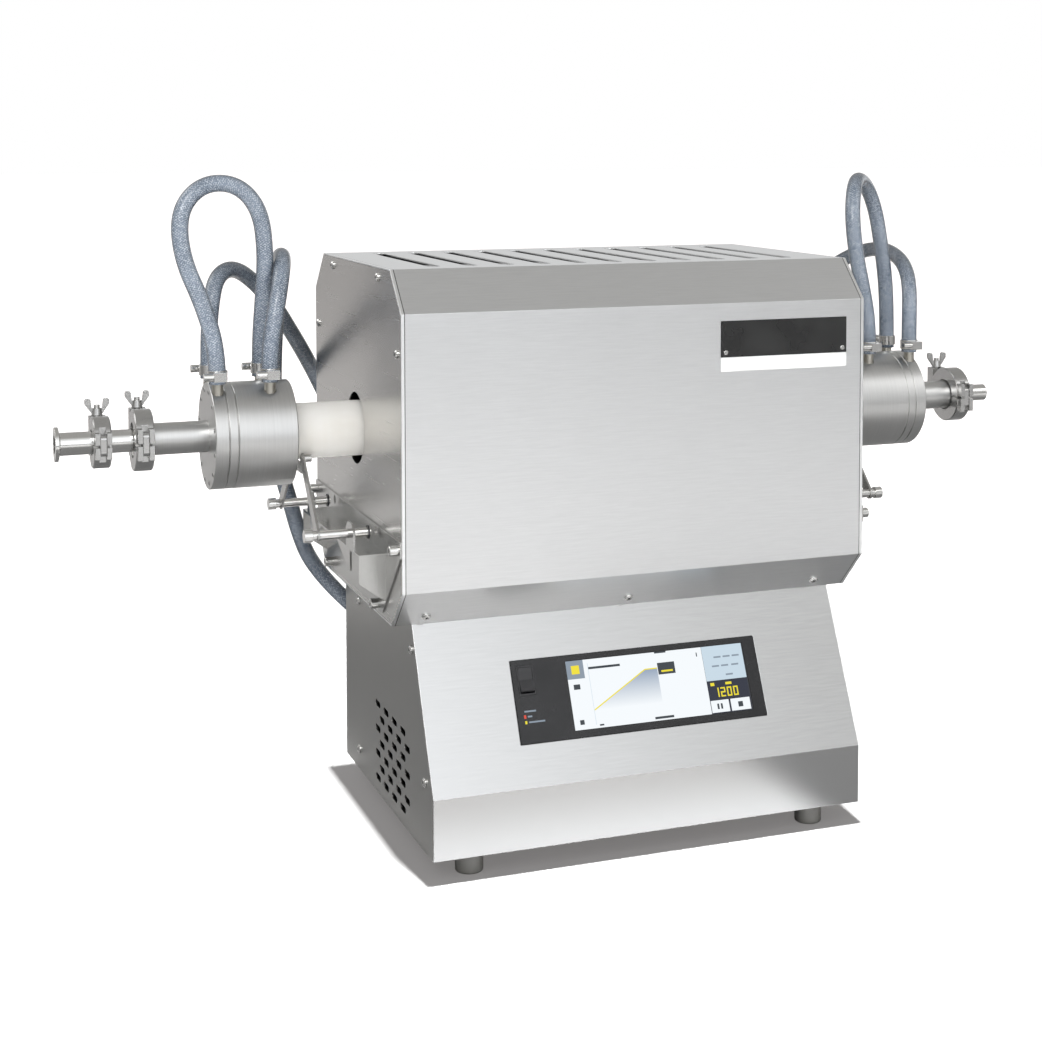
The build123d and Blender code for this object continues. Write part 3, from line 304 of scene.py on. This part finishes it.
finish = {
    steel_front: ["housing_cover"],
    steel_base: ["front_panel"],
    shaded_steel_cabinet: ["base_cabinet", "rear_panel"],
    steel_side: ["left_side_panel", "right_side_panel"],
    steel_turned: ["left_flange_body", "right_flange_body", "flange_rings",
                   "left_flange_end", "right_flange_end"],
    steel_sheet: ["left_bracket", "right_bracket", "left_saddle", "right_saddle",
                  "thermocouple"],
    steel_bright: ["left_support_rods", "right_support_rods", "left_port_adapter",
                   "left_open_port", "right_gas_fitting", "button_screws", "cap_screws",
                   "hose_clamps"],
    alloy: ["water_manifold", "power_relay"],
    blackened: ["left_rod_clips", "right_rod_clips", "centring_rings"],
    brass: ["hose_nipples"],
    rod_grey: ["heating_rods"],
    casing_pale: ["inner_casing"],
    fibre: ["insulation_halves", "tube_collars"],
    foot_grey: ["feet"],
    rubber: ["seal_rings"],
    moulding: ["controller_housing", "switch_frame", "power_rocker", "mains_inlet"],
    panel_black: ["control_panel"],
    screen_black: ["touch_screen"],
    ceramic: ["work_tube"],
}
clamp_names = ["left_large_clamp", "left_small_clamp", "right_large_clamp"]
for clamp in clamp_names:
    finish[alloy] += [clamp + "_jaws", clamp + "_nut"]
    finish[steel_bright] += [clamp + "_bolt"]
for material, names in finish.items():
    for name in names:
        mesh = nodes[name].data
        mesh.materials.clear()
        mesh.materials.append(material)


# ---------------------------------------------------------------- shared shapes
def piece(name, mesh, material, body="furnace"):
    made = bpy.data.objects.new(name, mesh)
    bpy.context.scene.collection.objects.link(made)
    if material:
        mesh.materials.append(material)
    if body:
        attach(made, body)
    return made


def mesh_of(name, shape):
    mesh = bpy.data.meshes.new(name)
    shape.to_mesh(mesh)
    shape.free()
    return mesh


def bevelled_box(shape, frame_matrix, x_span, y_span, z_span, bevel=0.0):
    """Adds a box between two values on each axis of frame_matrix to a bmesh."""
    middle = Vector([(low + high) / 2 for low, high in (x_span, y_span, z_span)])
    size = Vector([abs(high - low) for low, high in (x_span, y_span, z_span)])
    matrix = frame_matrix @ Matrix.Translation(middle) @ Matrix.Diagonal((*size, 1))
    made = bmesh.ops.create_cube(shape, size=1.0, matrix=matrix)
    if bevel:
        edges = {edge for vert in made["verts"] for edge in vert.link_edges}
        bmesh.ops.bevel(shape, geom=list(edges), offset=bevel, segments=2, affect="EDGES")


# ---------------------------------------------------------------- hoses
# Each route runs between two nipples, or from a nipple to the manifold on the back.
left_loop_route = [
    (-345, -22, 405), (-345, -22, 434), (-356, -18, 474), (-373, -12, 515),
    (-375, -8, 555), (-354, -3, 579), (-322, 3, 579), (-300, 8, 555),
    (-295, 12, 514), (-297, 17, 472), (-299, 22, 434), (-299, 22, 405),
]
left_supply_route = [
    (-345, 22, 405), (-345, 22, 436), (-342, 27, 470), (-334, 41, 495),
    (-314, 64, 501), (-289, 84, 483), (-266, 104, 457), (-252, 122, 438),
    (-233, 150, 413), (-212, 180, 382), (-190, 197, 341), (-170, 203, 297),
    (-146, 200, 262), (-119, 190, 240), (-92, 170, 230), (-76, 147, 214),
    (-70, 131, 190), (-70, 131, 164),
]
left_return_route = [
    (-299, -22, 405), (-299, -22, 434), (-293, -19, 464), (-286, -8, 492),
    (-279, 14, 511), (-276, 40, 513), (-274, 62, 497), (-274, 70, 462),
    (-275, 76, 424), (-275, 81, 384), (-273, 89, 345), (-266, 100, 307),
    (-254, 112, 272), (-243, 125, 238), (-229, 141, 207), (-205, 146, 176),
    (-177, 139, 148), (-147, 131, 131), (-117, 131, 131),
]
right_loop_route = [
    (345, 22, 405), (345, 22, 435), (346, 27, 474), (343, 32, 512),
    (339, 36, 545), (323, 26, 570), (300, 4, 579), (283, -18, 569),
    (275, -30, 541), (279, -31, 504), (290, -27, 467), (299, -22, 433),
    (299, -22, 405),
]
right_supply_route = [
    (345, -22, 405), (345, -22, 434), (349, -16, 463), (358, 4, 483),
    (367, 36, 496), (370, 74, 503), (364, 112, 498), (349, 147, 480),
    (322, 175, 450), (287, 193, 416), (251, 201, 380), (215, 205, 342),
    (181, 205, 304), (149, 200, 268), (119, 190, 240), (92, 170, 230),
    (76, 147, 214), (70, 131, 190), (70, 131, 164),
]
right_return_route = [
    (299, 22, 405), (299, 22, 433), (298, 31, 460), (297, 53, 476),
    (295, 80, 474), (293, 101, 456), (291, 110, 424), (287, 109, 382),
    (279, 106, 342), (267, 107, 305), (254, 114, 270), (243, 126, 238),
    (229, 141, 207), (205, 146, 176), (177, 139, 148), (147, 131, 131),
    (117, 131, 131),
]
hose_radius = 0.0075
hose_sides = 28


def smooth_line(name, route):
    """Points of the NURBS line that has the route as its control points."""
    curve = bpy.data.curves.new(name + "_line", "CURVE")
    curve.dimensions = "3D"
    curve.resolution_u = 10
    spline = curve.splines.new("NURBS")
    spline.points.add(len(route) - 1)
    for point, place in zip(spline.points, route):
        point.co = (*to_frame(*place), 1)
    spline.order_u = 3
    spline.use_endpoint_u = True
    holder = bpy.data.objects.new(name + "_line", curve)
    line = bpy.data.meshes.new_from_object(holder)
    points = [vert.co.copy() for vert in line.vertices]
    bpy.data.meshes.remove(line)
    bpy.data.objects.remove(holder)
    bpy.data.curves.remove(curve)
    return points


def tube_mesh(name, points, radius, sides):
    """A round tube along points, with UV of metres along it and turns round it."""
    shape = bmesh.new()
    uv = shape.loops.layers.uv.new("UVMap")
    travelled = [0.0]
    for before, after in zip(points, points[1:]):
        travelled.append(travelled[-1] + (after - before).length)
    across = Vector((1, 0, 0))
    rings = []
    for index, point in enumerate(points):
        before = points[max(index - 1, 0)]
        after = points[min(index + 1, len(points) - 1)]
        tangent = (after - before).normalized()
        if index == 0 and abs(tangent.x) > 0.9:
            across = Vector((0, 0, 1))
        across = (across - tangent * across.dot(tangent)).normalized()
        up = tangent.cross(across)
        ring = []
        for side in range(sides):
            angle = 2 * pi * side / sides
            ring.append(shape.verts.new(point + radius * (across * cos(angle) + up * sin(angle))))
        rings.append(ring)
    for index in range(len(rings) - 1):
        for side in range(sides):
            turn = (side + 1) % sides
            face = shape.faces.new(
                (rings[index][side], rings[index][turn], rings[index + 1][turn], rings[index + 1][side])
            )
            face.smooth = True
            places = [(index, side), (index, side + 1), (index + 1, side + 1), (index + 1, side)]
            for loop, (step, turns) in zip(face.loops, places):
                loop[uv].uv = (travelled[step], turns / sides)
    shape.faces.new(rings[0][::-1])
    shape.faces.new(rings[-1])
    bmesh.ops.recalc_face_normals(shape, faces=shape.faces)
    return mesh_of(name, shape), travelled[-1]


hoses = {
    "left_loop_hose": left_loop_route,
    "left_supply_hose": left_supply_route,
    "left_return_hose": left_return_route,
    "right_loop_hose": right_loop_route,
    "right_supply_hose": right_supply_route,
    "right_return_hose": right_return_route,
}
for name, route in hoses.items():
    line = smooth_line(name, route)
    mesh, length = tube_mesh(name + "_braided", line, hose_radius, hose_sides)
    hose = piece(name + "_braided", mesh, hose_clear)
    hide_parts(name)


# ---------------------------------------------------------------- plates and screen
front_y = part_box("housing_cover")[0].y


def plate(name, x_span, z_span, thickness, material):
    """A thin plate on the housing's front, with bevelled edges."""
    shape = bmesh.new()
    low = to_frame(x_span[0], 0, z_span[0])
    high = to_frame(x_span[1], 0, z_span[1])
    bevelled_box(
        shape, Matrix.Identity(4), (low.x, high.x), (front_y - thickness, front_y), (low.z, high.z),
        min(0.0003, thickness / 3),
    )
    return piece(name, mesh_of(name, shape), material)


plate_black = plain("plate_black", (0.012, 0.012, 0.012), 0.3, 300.0, 0.01)
plate_white = plain("plate_white", (0.82, 0.82, 0.81), 0.35, 300.0, 0.01)
plate_left, plate_right = 74, 199
plate_thickness = 0.0008
plate("name_plate", (plate_left, plate_right), (425.3, 457.5), plate_thickness, plate_black)
plate("name_plate_strip", (plate_left, plate_right), (412.5, 425), 0.0006, plate_white)


def dot(name, places, radius, height, material, sides=24):
    """Round or many-sided heads; places are matrices with the head along their +Z."""
    shape = bmesh.new()
    for matrix in places:
        made = bmesh.ops.create_cone(
            shape, cap_ends=True, segments=sides, radius1=radius, radius2=radius,
            depth=height, matrix=matrix @ Matrix.Translation((0, 0, height / 2)),
        )
        top = max(made["verts"], key=lambda vert: (matrix.inverted() @ vert.co).z)
        level = (matrix.inverted() @ top.co).z
        rim = [
            edge for vert in made["verts"] for edge in vert.link_edges
            if all(abs((matrix.inverted() @ end.co).z - level) < 1e-6 for end in edge.verts)
        ]
        bmesh.ops.bevel(shape, geom=list(set(rim)), offset=height * 0.3, segments=3, affect="EDGES")
    return piece(name, mesh_of(name, shape), material)


def facing(point, direction):
    """Matrix at a point with its +Z along a direction."""
    turn = Vector(direction).to_track_quat("Z", "Y").to_matrix().to_4x4()
    return Matrix.Translation(point) @ turn


plate_screw_inset = 4.5
plate_screw_z = 429.5
plate_screws = []
for x in (plate_left + plate_screw_inset, plate_right - plate_screw_inset):
    place = to_frame(x, 0, plate_screw_z)
    place.y = front_y - plate_thickness
    plate_screws.append(facing(place, (0, -1, 0)))
dot("name_plate_screws", plate_screws, 0.0021, 0.0011, steel_bright)

# The sloped panel's own axes: across, up the slope and out of it
slope_lean = radians(25.5135)
slope_foot_y, slope_foot_z = -184, 72
slope = Matrix.Translation(to_frame(0, slope_foot_y, slope_foot_z)) @ Matrix((
    (1, 0, 0, 0),
    (0, sin(slope_lean), -cos(slope_lean), 0),
    (0, cos(slope_lean), sin(slope_lean), 0),
    (0, 0, 0, 1),
))
glass_out, panel_out = 0.6, 1.0  # how far the glass and the panel stand out of the slope
mark_gap = 0.03


def light_paint(name, colour, strength=0.9):
    paint = Paint(name, (0.0, 0.0, 0.0), 0.3)
    paint.shader.inputs["Emission Color"].default_value = (*colour, 1)
    paint.shader.inputs["Emission Strength"].default_value = strength
    return paint.material


def drawing(name, shapes, level, material):
    """Flat marks on the slope; each shape is a list of (across, up) points, in millimetres."""
    shape = bmesh.new()
    for outline in shapes:
        verts = [shape.verts.new(slope @ Vector((x / 1000, s / 1000, level / 1000))) for x, s in outline]
        shape.faces.new(verts)
    return piece(name, mesh_of(name, shape), material)


def rect(x_low, x_high, s_low, s_high):
    return [(x_low, s_low), (x_high, s_low), (x_high, s_high), (x_low, s_high)]


def stroke(points, width):
    """A line as a row of quads, for the graph."""
    quads = []
    for (x0, s0), (x1, s1) in zip(points, points[1:]):
        direction = Vector((x1 - x0, s1 - s0)).normalized() * (width / 2)
        off = Vector((-direction.y, direction.x))
        quads.append([
            (x0 - off.x, s0 - off.y), (x1 - off.x, s1 - off.y),
            (x1 + off.x, s1 + off.y), (x0 + off.x, s0 + off.y),
        ])
    return quads


white = light_paint("screen_white", (0.93, 0.97, 1.0), 0.95)
pale_blue = light_paint("screen_pale_blue", (0.62, 0.75, 0.85), 0.9)
grey_blue = light_paint("screen_grey_blue", (0.27, 0.33, 0.40), 0.9)
navy = light_paint("screen_navy", (0.012, 0.016, 0.035), 1.0)
yellow = light_paint("screen_yellow", (0.85, 0.72, 0.02), 1.0)
ink = light_paint("screen_ink", (0.03, 0.04, 0.05), 1.0)
red = light_paint("led_red", (0.7, 0.06, 0.03), 1.0)

# What is drawn lies in layers, so that no mark shares a plane with what is under it
background = glass_out + mark_gap
boxes, area, marks, lines, curve = (background + lift for lift in (0.03, 0.05, 0.06, 0.08, 0.1))
drawing("screen_background", [rect(-67, 62.2, 42.2, 101.3)], background, white)
drawing("screen_info", [rect(62.4, 101.8, 70.8, 101.3)], background, pale_blue)
drawing("screen_status", [rect(62.4, 101.8, 42.2, 70.6)], background, navy)
drawing("screen_buttons", [rect(62.8, 80.2, 43, 53.5), rect(82, 100.8, 43, 53.5)], boxes, white)
drawing("screen_menu", [rect(-67, -51, 85.5, 101.3)], boxes, grey_blue)
drawing("screen_menu_mark", [rect(-62.6, -55.2, 89.6, 97)], marks, yellow)
drawing("screen_label", [rect(18, 34.4, 81.4, 91.6), rect(17, 28, 100, 101.3)], marks, ink)
drawing("screen_label_lines", [rect(21, 32, 83.4, 85.0)], lines, yellow)
icons = [
    rect(-62.6, -56.6, 76.4, 80.8), rect(-61.6, -57.6, 46.4, 50.4),
    rect(68.6, 70.4, 45.8, 50.6), rect(72.0, 73.8, 45.8, 50.6), rect(89, 93.6, 45.9, 50.5),
    rect(-46.8, -17, 92.6, 94.6), rect(-34, -24, 92.6, 94.6), rect(8, 26, 43.6, 45.6),
    rect(-44, -40, 43.8, 45.2), rect(56.5, 57.5, 93.5, 97),
]
drawing("screen_icons", icons, marks, ink)
info_left, info_width, info_height = 70, 7, 1.5
info_rows = {90.4: (3, 12, 21), 82.6: (0, 9, 19), 74.4: (12,)}
info = [
    rect(info_left + shift, info_left + shift + info_width, foot, foot + info_height)
    for foot, shifts in info_rows.items() for shift in shifts
]
drawing("screen_info_lines", info, marks, grey_blue)
drawing("screen_axis", stroke([(-47, 45), (-47, 98)], 0.35), marks, pale_blue)
ramp_start, ramp_end, ramp_top = -46.6, 17.4, 5.7  # where the curve starts, ends and levels out
ramp_low, ramp_high = 57.6, 87.3
ramp_line = [(ramp_start, ramp_low), (ramp_top, ramp_high), (ramp_end, ramp_high)]
drawing("screen_ramp", stroke(ramp_line, 1.0), curve, yellow)


def graph_area():
    """Area under the ramp, fading to white downwards."""
    paint = Paint("screen_fade", (0.0, 0.0, 0.0), 0.3)
    height = paint.axes(paint.coordinates("UV"))[1]
    paint.into("Emission Color", paint.mix(height, (0.93, 0.97, 1.0), (0.30, 0.38, 0.50)))
    paint.shader.inputs["Emission Strength"].default_value = 0.95
    area_high = 87
    outline = [
        (ramp_start, ramp_low), (ramp_end, ramp_low), (ramp_end, area_high), (ramp_top, area_high),
    ]
    made = drawing("screen_area", [outline], area, paint.material)
    uv = made.data.uv_layers.new(name="UVMap")
    left, foot, width, rise = -47, 57, 64, 30  # of the stretch that the UV covers
    for loop, (x, s) in zip(made.data.loops, outline):
        uv.data[loop.index].uv = ((x - left) / width, (s - foot) / rise)


graph_area()

# The bars that a seven-segment figure lights
segments = {
    "0": "abcdef", "1": "bc", "2": "abged", "3": "abgcd", "4": "fgbc",
    "5": "afgcd", "6": "afgedc", "7": "abc", "8": "abcdefg", "9": "abcdfg",
}


def figure(digit, x, s, width, height, line):
    """A digit with its lower left corner at x and s; line is the width of a bar."""
    bars = {
        "a": rect(x, x + width, s + height - line, s + height),
        "g": rect(x, x + width, s + (height - line) / 2, s + (height + line) / 2),
        "d": rect(x, x + width, s, s + line),
        "f": rect(x, x + line, s + height / 2, s + height),
        "b": rect(x + width - line, x + width, s + height / 2, s + height),
        "e": rect(x, x + line, s, s + height / 2),
        "c": rect(x + width - line, x + width, s, s + height / 2),
    }
    return [bars[part] for part in segments[digit]]


shown = "1200"
digit_left, digit_foot, digit_pitch = 68, 56.2, 6.2
figures = []
for index, digit in enumerate(shown):
    figures += figure(digit, digit_left + index * digit_pitch, digit_foot, 4.6, 8.2, 1.2)
drawing("screen_figures", figures, marks, yellow)
drawing("screen_marks", [rect(65.4, 69.2, 66.2, 69), rect(80, 86, 66.4, 68.6)], marks, yellow)
leds = panel_out + mark_gap
drawing("led_red_mark", [rect(-111.4, -109.4, 57, 60)], leds, red)
drawing("led_yellow_mark", [rect(-111, -109.2, 52.4, 55)], leds, yellow)
led_lines = [rect(-110.5, -100, 62.2, 63.6), rect(-108, -104, 57.8, 59.2), rect(-107.6, -93, 53, 54.4)]
drawing("led_lines", led_lines, leds, grey_blue)

# ---------------------------------------------------------------- sockets of the round heads, as painted shade
half_width, half_depth, housing_foot, chamfer = 217, 156, 204, 35
base_half_width = 199.3
head_height = 2.4
button_places = []
for y, z in ((82, 499), (143, 439)):
    for side in (-1, 1):
        for end in (-1, 1):
            button_places.append(((end * (half_width + head_height), side * y, z), (end, 0, 0)))
for y, z in ((-120, 182), (-161, 80), (60, 182), (60, 40)):
    for end in (-1, 1):
        button_places.append(((end * (base_half_width + head_height), y, z), (end, 0, 0)))
# Three are a quarter of the way up the lower front chamfer and stand square to it
chamfer_rise = chamfer / 4
stand_out = head_height / 2 ** 0.5
for x in (-189, -3, 181):
    y = -half_depth + chamfer - chamfer_rise - stand_out
    z = housing_foot + chamfer_rise - stand_out
    button_places.append(((x, y, z), (0, -1, -1)))
# Painted shade: flat black hexagons, a tenth of a millimetre thick, stand for the shadow down in the hex
# sockets
socket_depth = 0.0001
sockets = [facing(to_frame(*place), direction) for place, direction in button_places]
dot("button_socket_shade", sockets, 0.00135, socket_depth, blackened, sides=6)

# ---------------------------------------------------------------- screws round the flange ends
tube_height = 356.5
flange_face, screw_circle, screw_count = 351, 41.5, 12
screw_height = 0.0005
flange_screws = []
for end in (-1, 1):
    for index in range(screw_count):
        angle = 2 * pi * (index + 0.5) / screw_count
        y, rise = screw_circle * cos(angle), screw_circle * sin(angle)
        place = to_frame(end * flange_face, y, tube_height + rise)
        flange_screws.append(facing(place, (end, 0, 0)))
# Painted shade: the flange screws get the same flat black hexagons for the shadow in their sockets
flange_sockets = [matrix @ Matrix.Translation((0, 0, screw_height)) for matrix in flange_screws]
dot("flange_end_screws", flange_screws, 0.0023, screw_height, steel_turned)
dot("flange_end_socket_shade", flange_sockets, 0.0016, socket_depth, blackened, sides=6)


# ---------------------------------------------------------------- floor, light, camera
eye_tone = (0.1, 0.1, 0.1)
bounce_tone = (0.144, 0.144, 0.144)
mirror_tone = (0.065, 0.064, 0.063)
mirror_far_tone = (0.16, 0.16, 0.16)
mirror_strip_tone = (0.105, 0.106, 0.107)
mirror_aside_tone = (0.009, 0.009, 0.009)
floor_drop = 0.0002  # below the feet, so that no face shares its plane


def floor():
    """Ground with one tone for the eye, one for the light it sends back and others in mirrors.

    For the eye it gets lighter away from the object. In mirrors it is dull, darker at both sides
    of the object, lighter in a strip before the base and far out towards the viewer, and it
    glows far behind the object.
    """
    shape = bmesh.new()
    bmesh.ops.create_grid(shape, x_segments=1, y_segments=1, size=30.0)
    made = piece("floor", mesh_of("floor", shape), None, body=None)
    made.location.z = -floor_drop
    paint = Paint("pale_floor", (0.86, 0.86, 0.86), 0.9)
    path = paint.node("LightPath").outputs
    place = paint.place((1, 1, 1))
    x, y = paint.axes(place)[:2]
    reach = paint.node("VectorMath", {0: place}, operation="LENGTH").outputs["Value"]
    aside = paint.product(paint.span(paint.maths("ABSOLUTE", x), 0, 1, 0.18, 0.22),
                          paint.span(reach, 1, 0, 0.7, 1.1))
    towards = paint.span(y, 0, 1, -0.4, -2.2)
    strip = paint.product(paint.span(y, 1, 0, -0.24, -0.34), paint.span(y, 1, 0, -0.16, -0.12))
    mirrored = paint.mix(towards, mirror_tone, mirror_far_tone)
    mirrored = paint.mix(strip, mirrored, mirror_strip_tone)
    mirrored = paint.mix(aside, mirrored, mirror_aside_tone)
    tone = paint.mix(path["Is Camera Ray"], bounce_tone, eye_tone)
    paint.into("Base Color", paint.mix(path["Is Glossy Ray"], tone, mirrored))
    paint.shader.inputs["Emission Color"].default_value = (1, 0.96, 0.95, 1)
    eye_glow = paint.product(path["Is Camera Ray"], paint.span(reach, 0.18, 1.15, 0.5, 2.0))
    mirror_glow = paint.product(path["Is Glossy Ray"], paint.span(y, 0, 0.34, 1.0, 3.0))
    paint.into("Emission Strength", paint.maths("ADD", eye_glow, mirror_glow))
    made.data.materials.append(paint.material)
    return made


ground = floor()


wall_tone = (0.44, 0.435, 0.422)
bright_tone = (1.16, 1.18, 1.2)


def world():
    """Studio walls by direction, and plain white for the eye.

    They are bright before, most of all a little right of the middle and not far out to the
    right. They are also bright low behind on the right, faintly so behind on the left, and grey
    elsewhere.
    """
    studio = bpy.data.worlds.new("studio")
    bpy.context.scene.world = studio
    studio.use_nodes = True
    studio.node_tree.nodes.clear()
    graph = Graph(studio.node_tree)

    def ramp(value, start, end, high):
        """Rises gently from 0, where the value is start, to high, where it is end."""
        made = graph.node("MapRange", {"Value": value, "From Min": start, "From Max": end,
                                       "To Max": high}, interpolation_type="SMOOTHSTEP")
        return made.outputs[0]

    # A direction's x runs to the right, y away from the viewer and z up, each from -1 to 1
    x, y, z = graph.axes(graph.node("TexCoord").outputs["Generated"])
    falling = graph.span(x, 2.0, -0.35, 0.15, 0.65)
    rising = graph.maths("ADD", ramp(x, -0.2, 0.22, 0.95), 0.85)
    across = graph.maths("MINIMUM", falling, rising)
    low_down = graph.maths("SUBTRACT", 1.0, ramp(z, 0.3, 1.0, 0.35))
    before = graph.product(ramp(y, -0.3, -0.93, 1.0), graph.product(across, low_down))
    left = graph.product(ramp(y, 0.2, 0.8, 0.24), ramp(z, 0.6, 0.2, 1.0), ramp(x, 0.3, -0.2, 1.0))
    right = graph.product(ramp(x, -0.3, 0.3, 1.0), ramp(y, 0.1, 0.6, 1.0), ramp(z, 0.34, 0.1, 0.9))
    bright = graph.maths("MAXIMUM", graph.maths("MAXIMUM", before, right), left)
    walls = graph.mix(bright, wall_tone, bright_tone, clamp=False)
    path = graph.node("LightPath").outputs
    seen = graph.maths("MAXIMUM", path["Is Camera Ray"], path["Is Transmission Ray"])
    ambient = graph.node("Background", {"Color": walls}).outputs[0]
    backdrop = graph.node("Background", {"Color": (1, 1, 1, 1)}).outputs[0]
    mixed = graph.node("MixShader", {0: seen, 1: ambient, 2: backdrop}).outputs[0]
    graph.node("OutputWorld", {0: mixed})


world()


def area_light(name, place, target, size, power):
    light = bpy.data.lights.new(name, "AREA")
    light.shape = "RECTANGLE"
    light.size, light.size_y = size
    light.energy = power
    made = bpy.data.objects.new(name, light)
    made.location = place
    made.rotation_euler = (Vector(target) - Vector(place)).to_track_quat("-Z", "Y").to_euler()
    bpy.context.scene.collection.objects.link(made)
    return made


centre = (0, 0, 0.3)
area_light("key", (-1.4, -2.2, 2.2), centre, (1.6, 1.6), 34)
area_light("fill", (2.2, -1.2, 1.6), centre, (1.6, 1.6), 12)
area_light("top", (-1.8, 1.0, 2.2), centre, (1.4, 1.4), 14)
# The overhead lamp lights the ground alone, and only the base and its feet shade it
overhead_x, overhead_y = 0.03, -0.22
overhead = area_light(
    "overhead", (overhead_x, overhead_y, 3.2), (overhead_x, overhead_y, 0), (0.12, 0.12), 1000,
)
lit_ground = bpy.data.collections.new("lit_ground")
lit_ground.objects.link(ground)
shading = bpy.data.collections.new("shading")
for name in ("base_cabinet", "front_panel", "rear_panel", "feet"):
    shading.objects.link(nodes[name])
overhead.light_linking.receiver_collection = lit_ground
overhead.light_linking.blocker_collection = shading

camera_yaw, camera_pitch = radians(20.9), radians(3.1)
focal_pixels, picture_pixels = 1861.6, 1042.0
principal_x, principal_y = 578.2, 237.9
sensor_width = 36.0
camera = bpy.data.objects.new("camera", bpy.data.cameras.new("camera"))
bpy.context.scene.collection.objects.link(camera)
bpy.context.scene.camera = camera
camera.location = to_frame(-626.1, -1637.0, 619.4)
aim = Vector((
    sin(camera_yaw) * cos(camera_pitch), cos(camera_yaw) * cos(camera_pitch), -sin(camera_pitch),
))
camera.rotation_euler = aim.to_track_quat("-Z", "Y").to_euler()
camera.data.sensor_width = sensor_width
camera.data.lens = sensor_width * focal_pixels / picture_pixels
camera.data.shift_x = -(principal_x - picture_pixels / 2) / picture_pixels
camera.data.shift_y = (principal_y - picture_pixels / 2) / picture_pixels
camera.data.clip_end = 100.0
bpy.context.scene.view_settings.view_transform = "Standard"
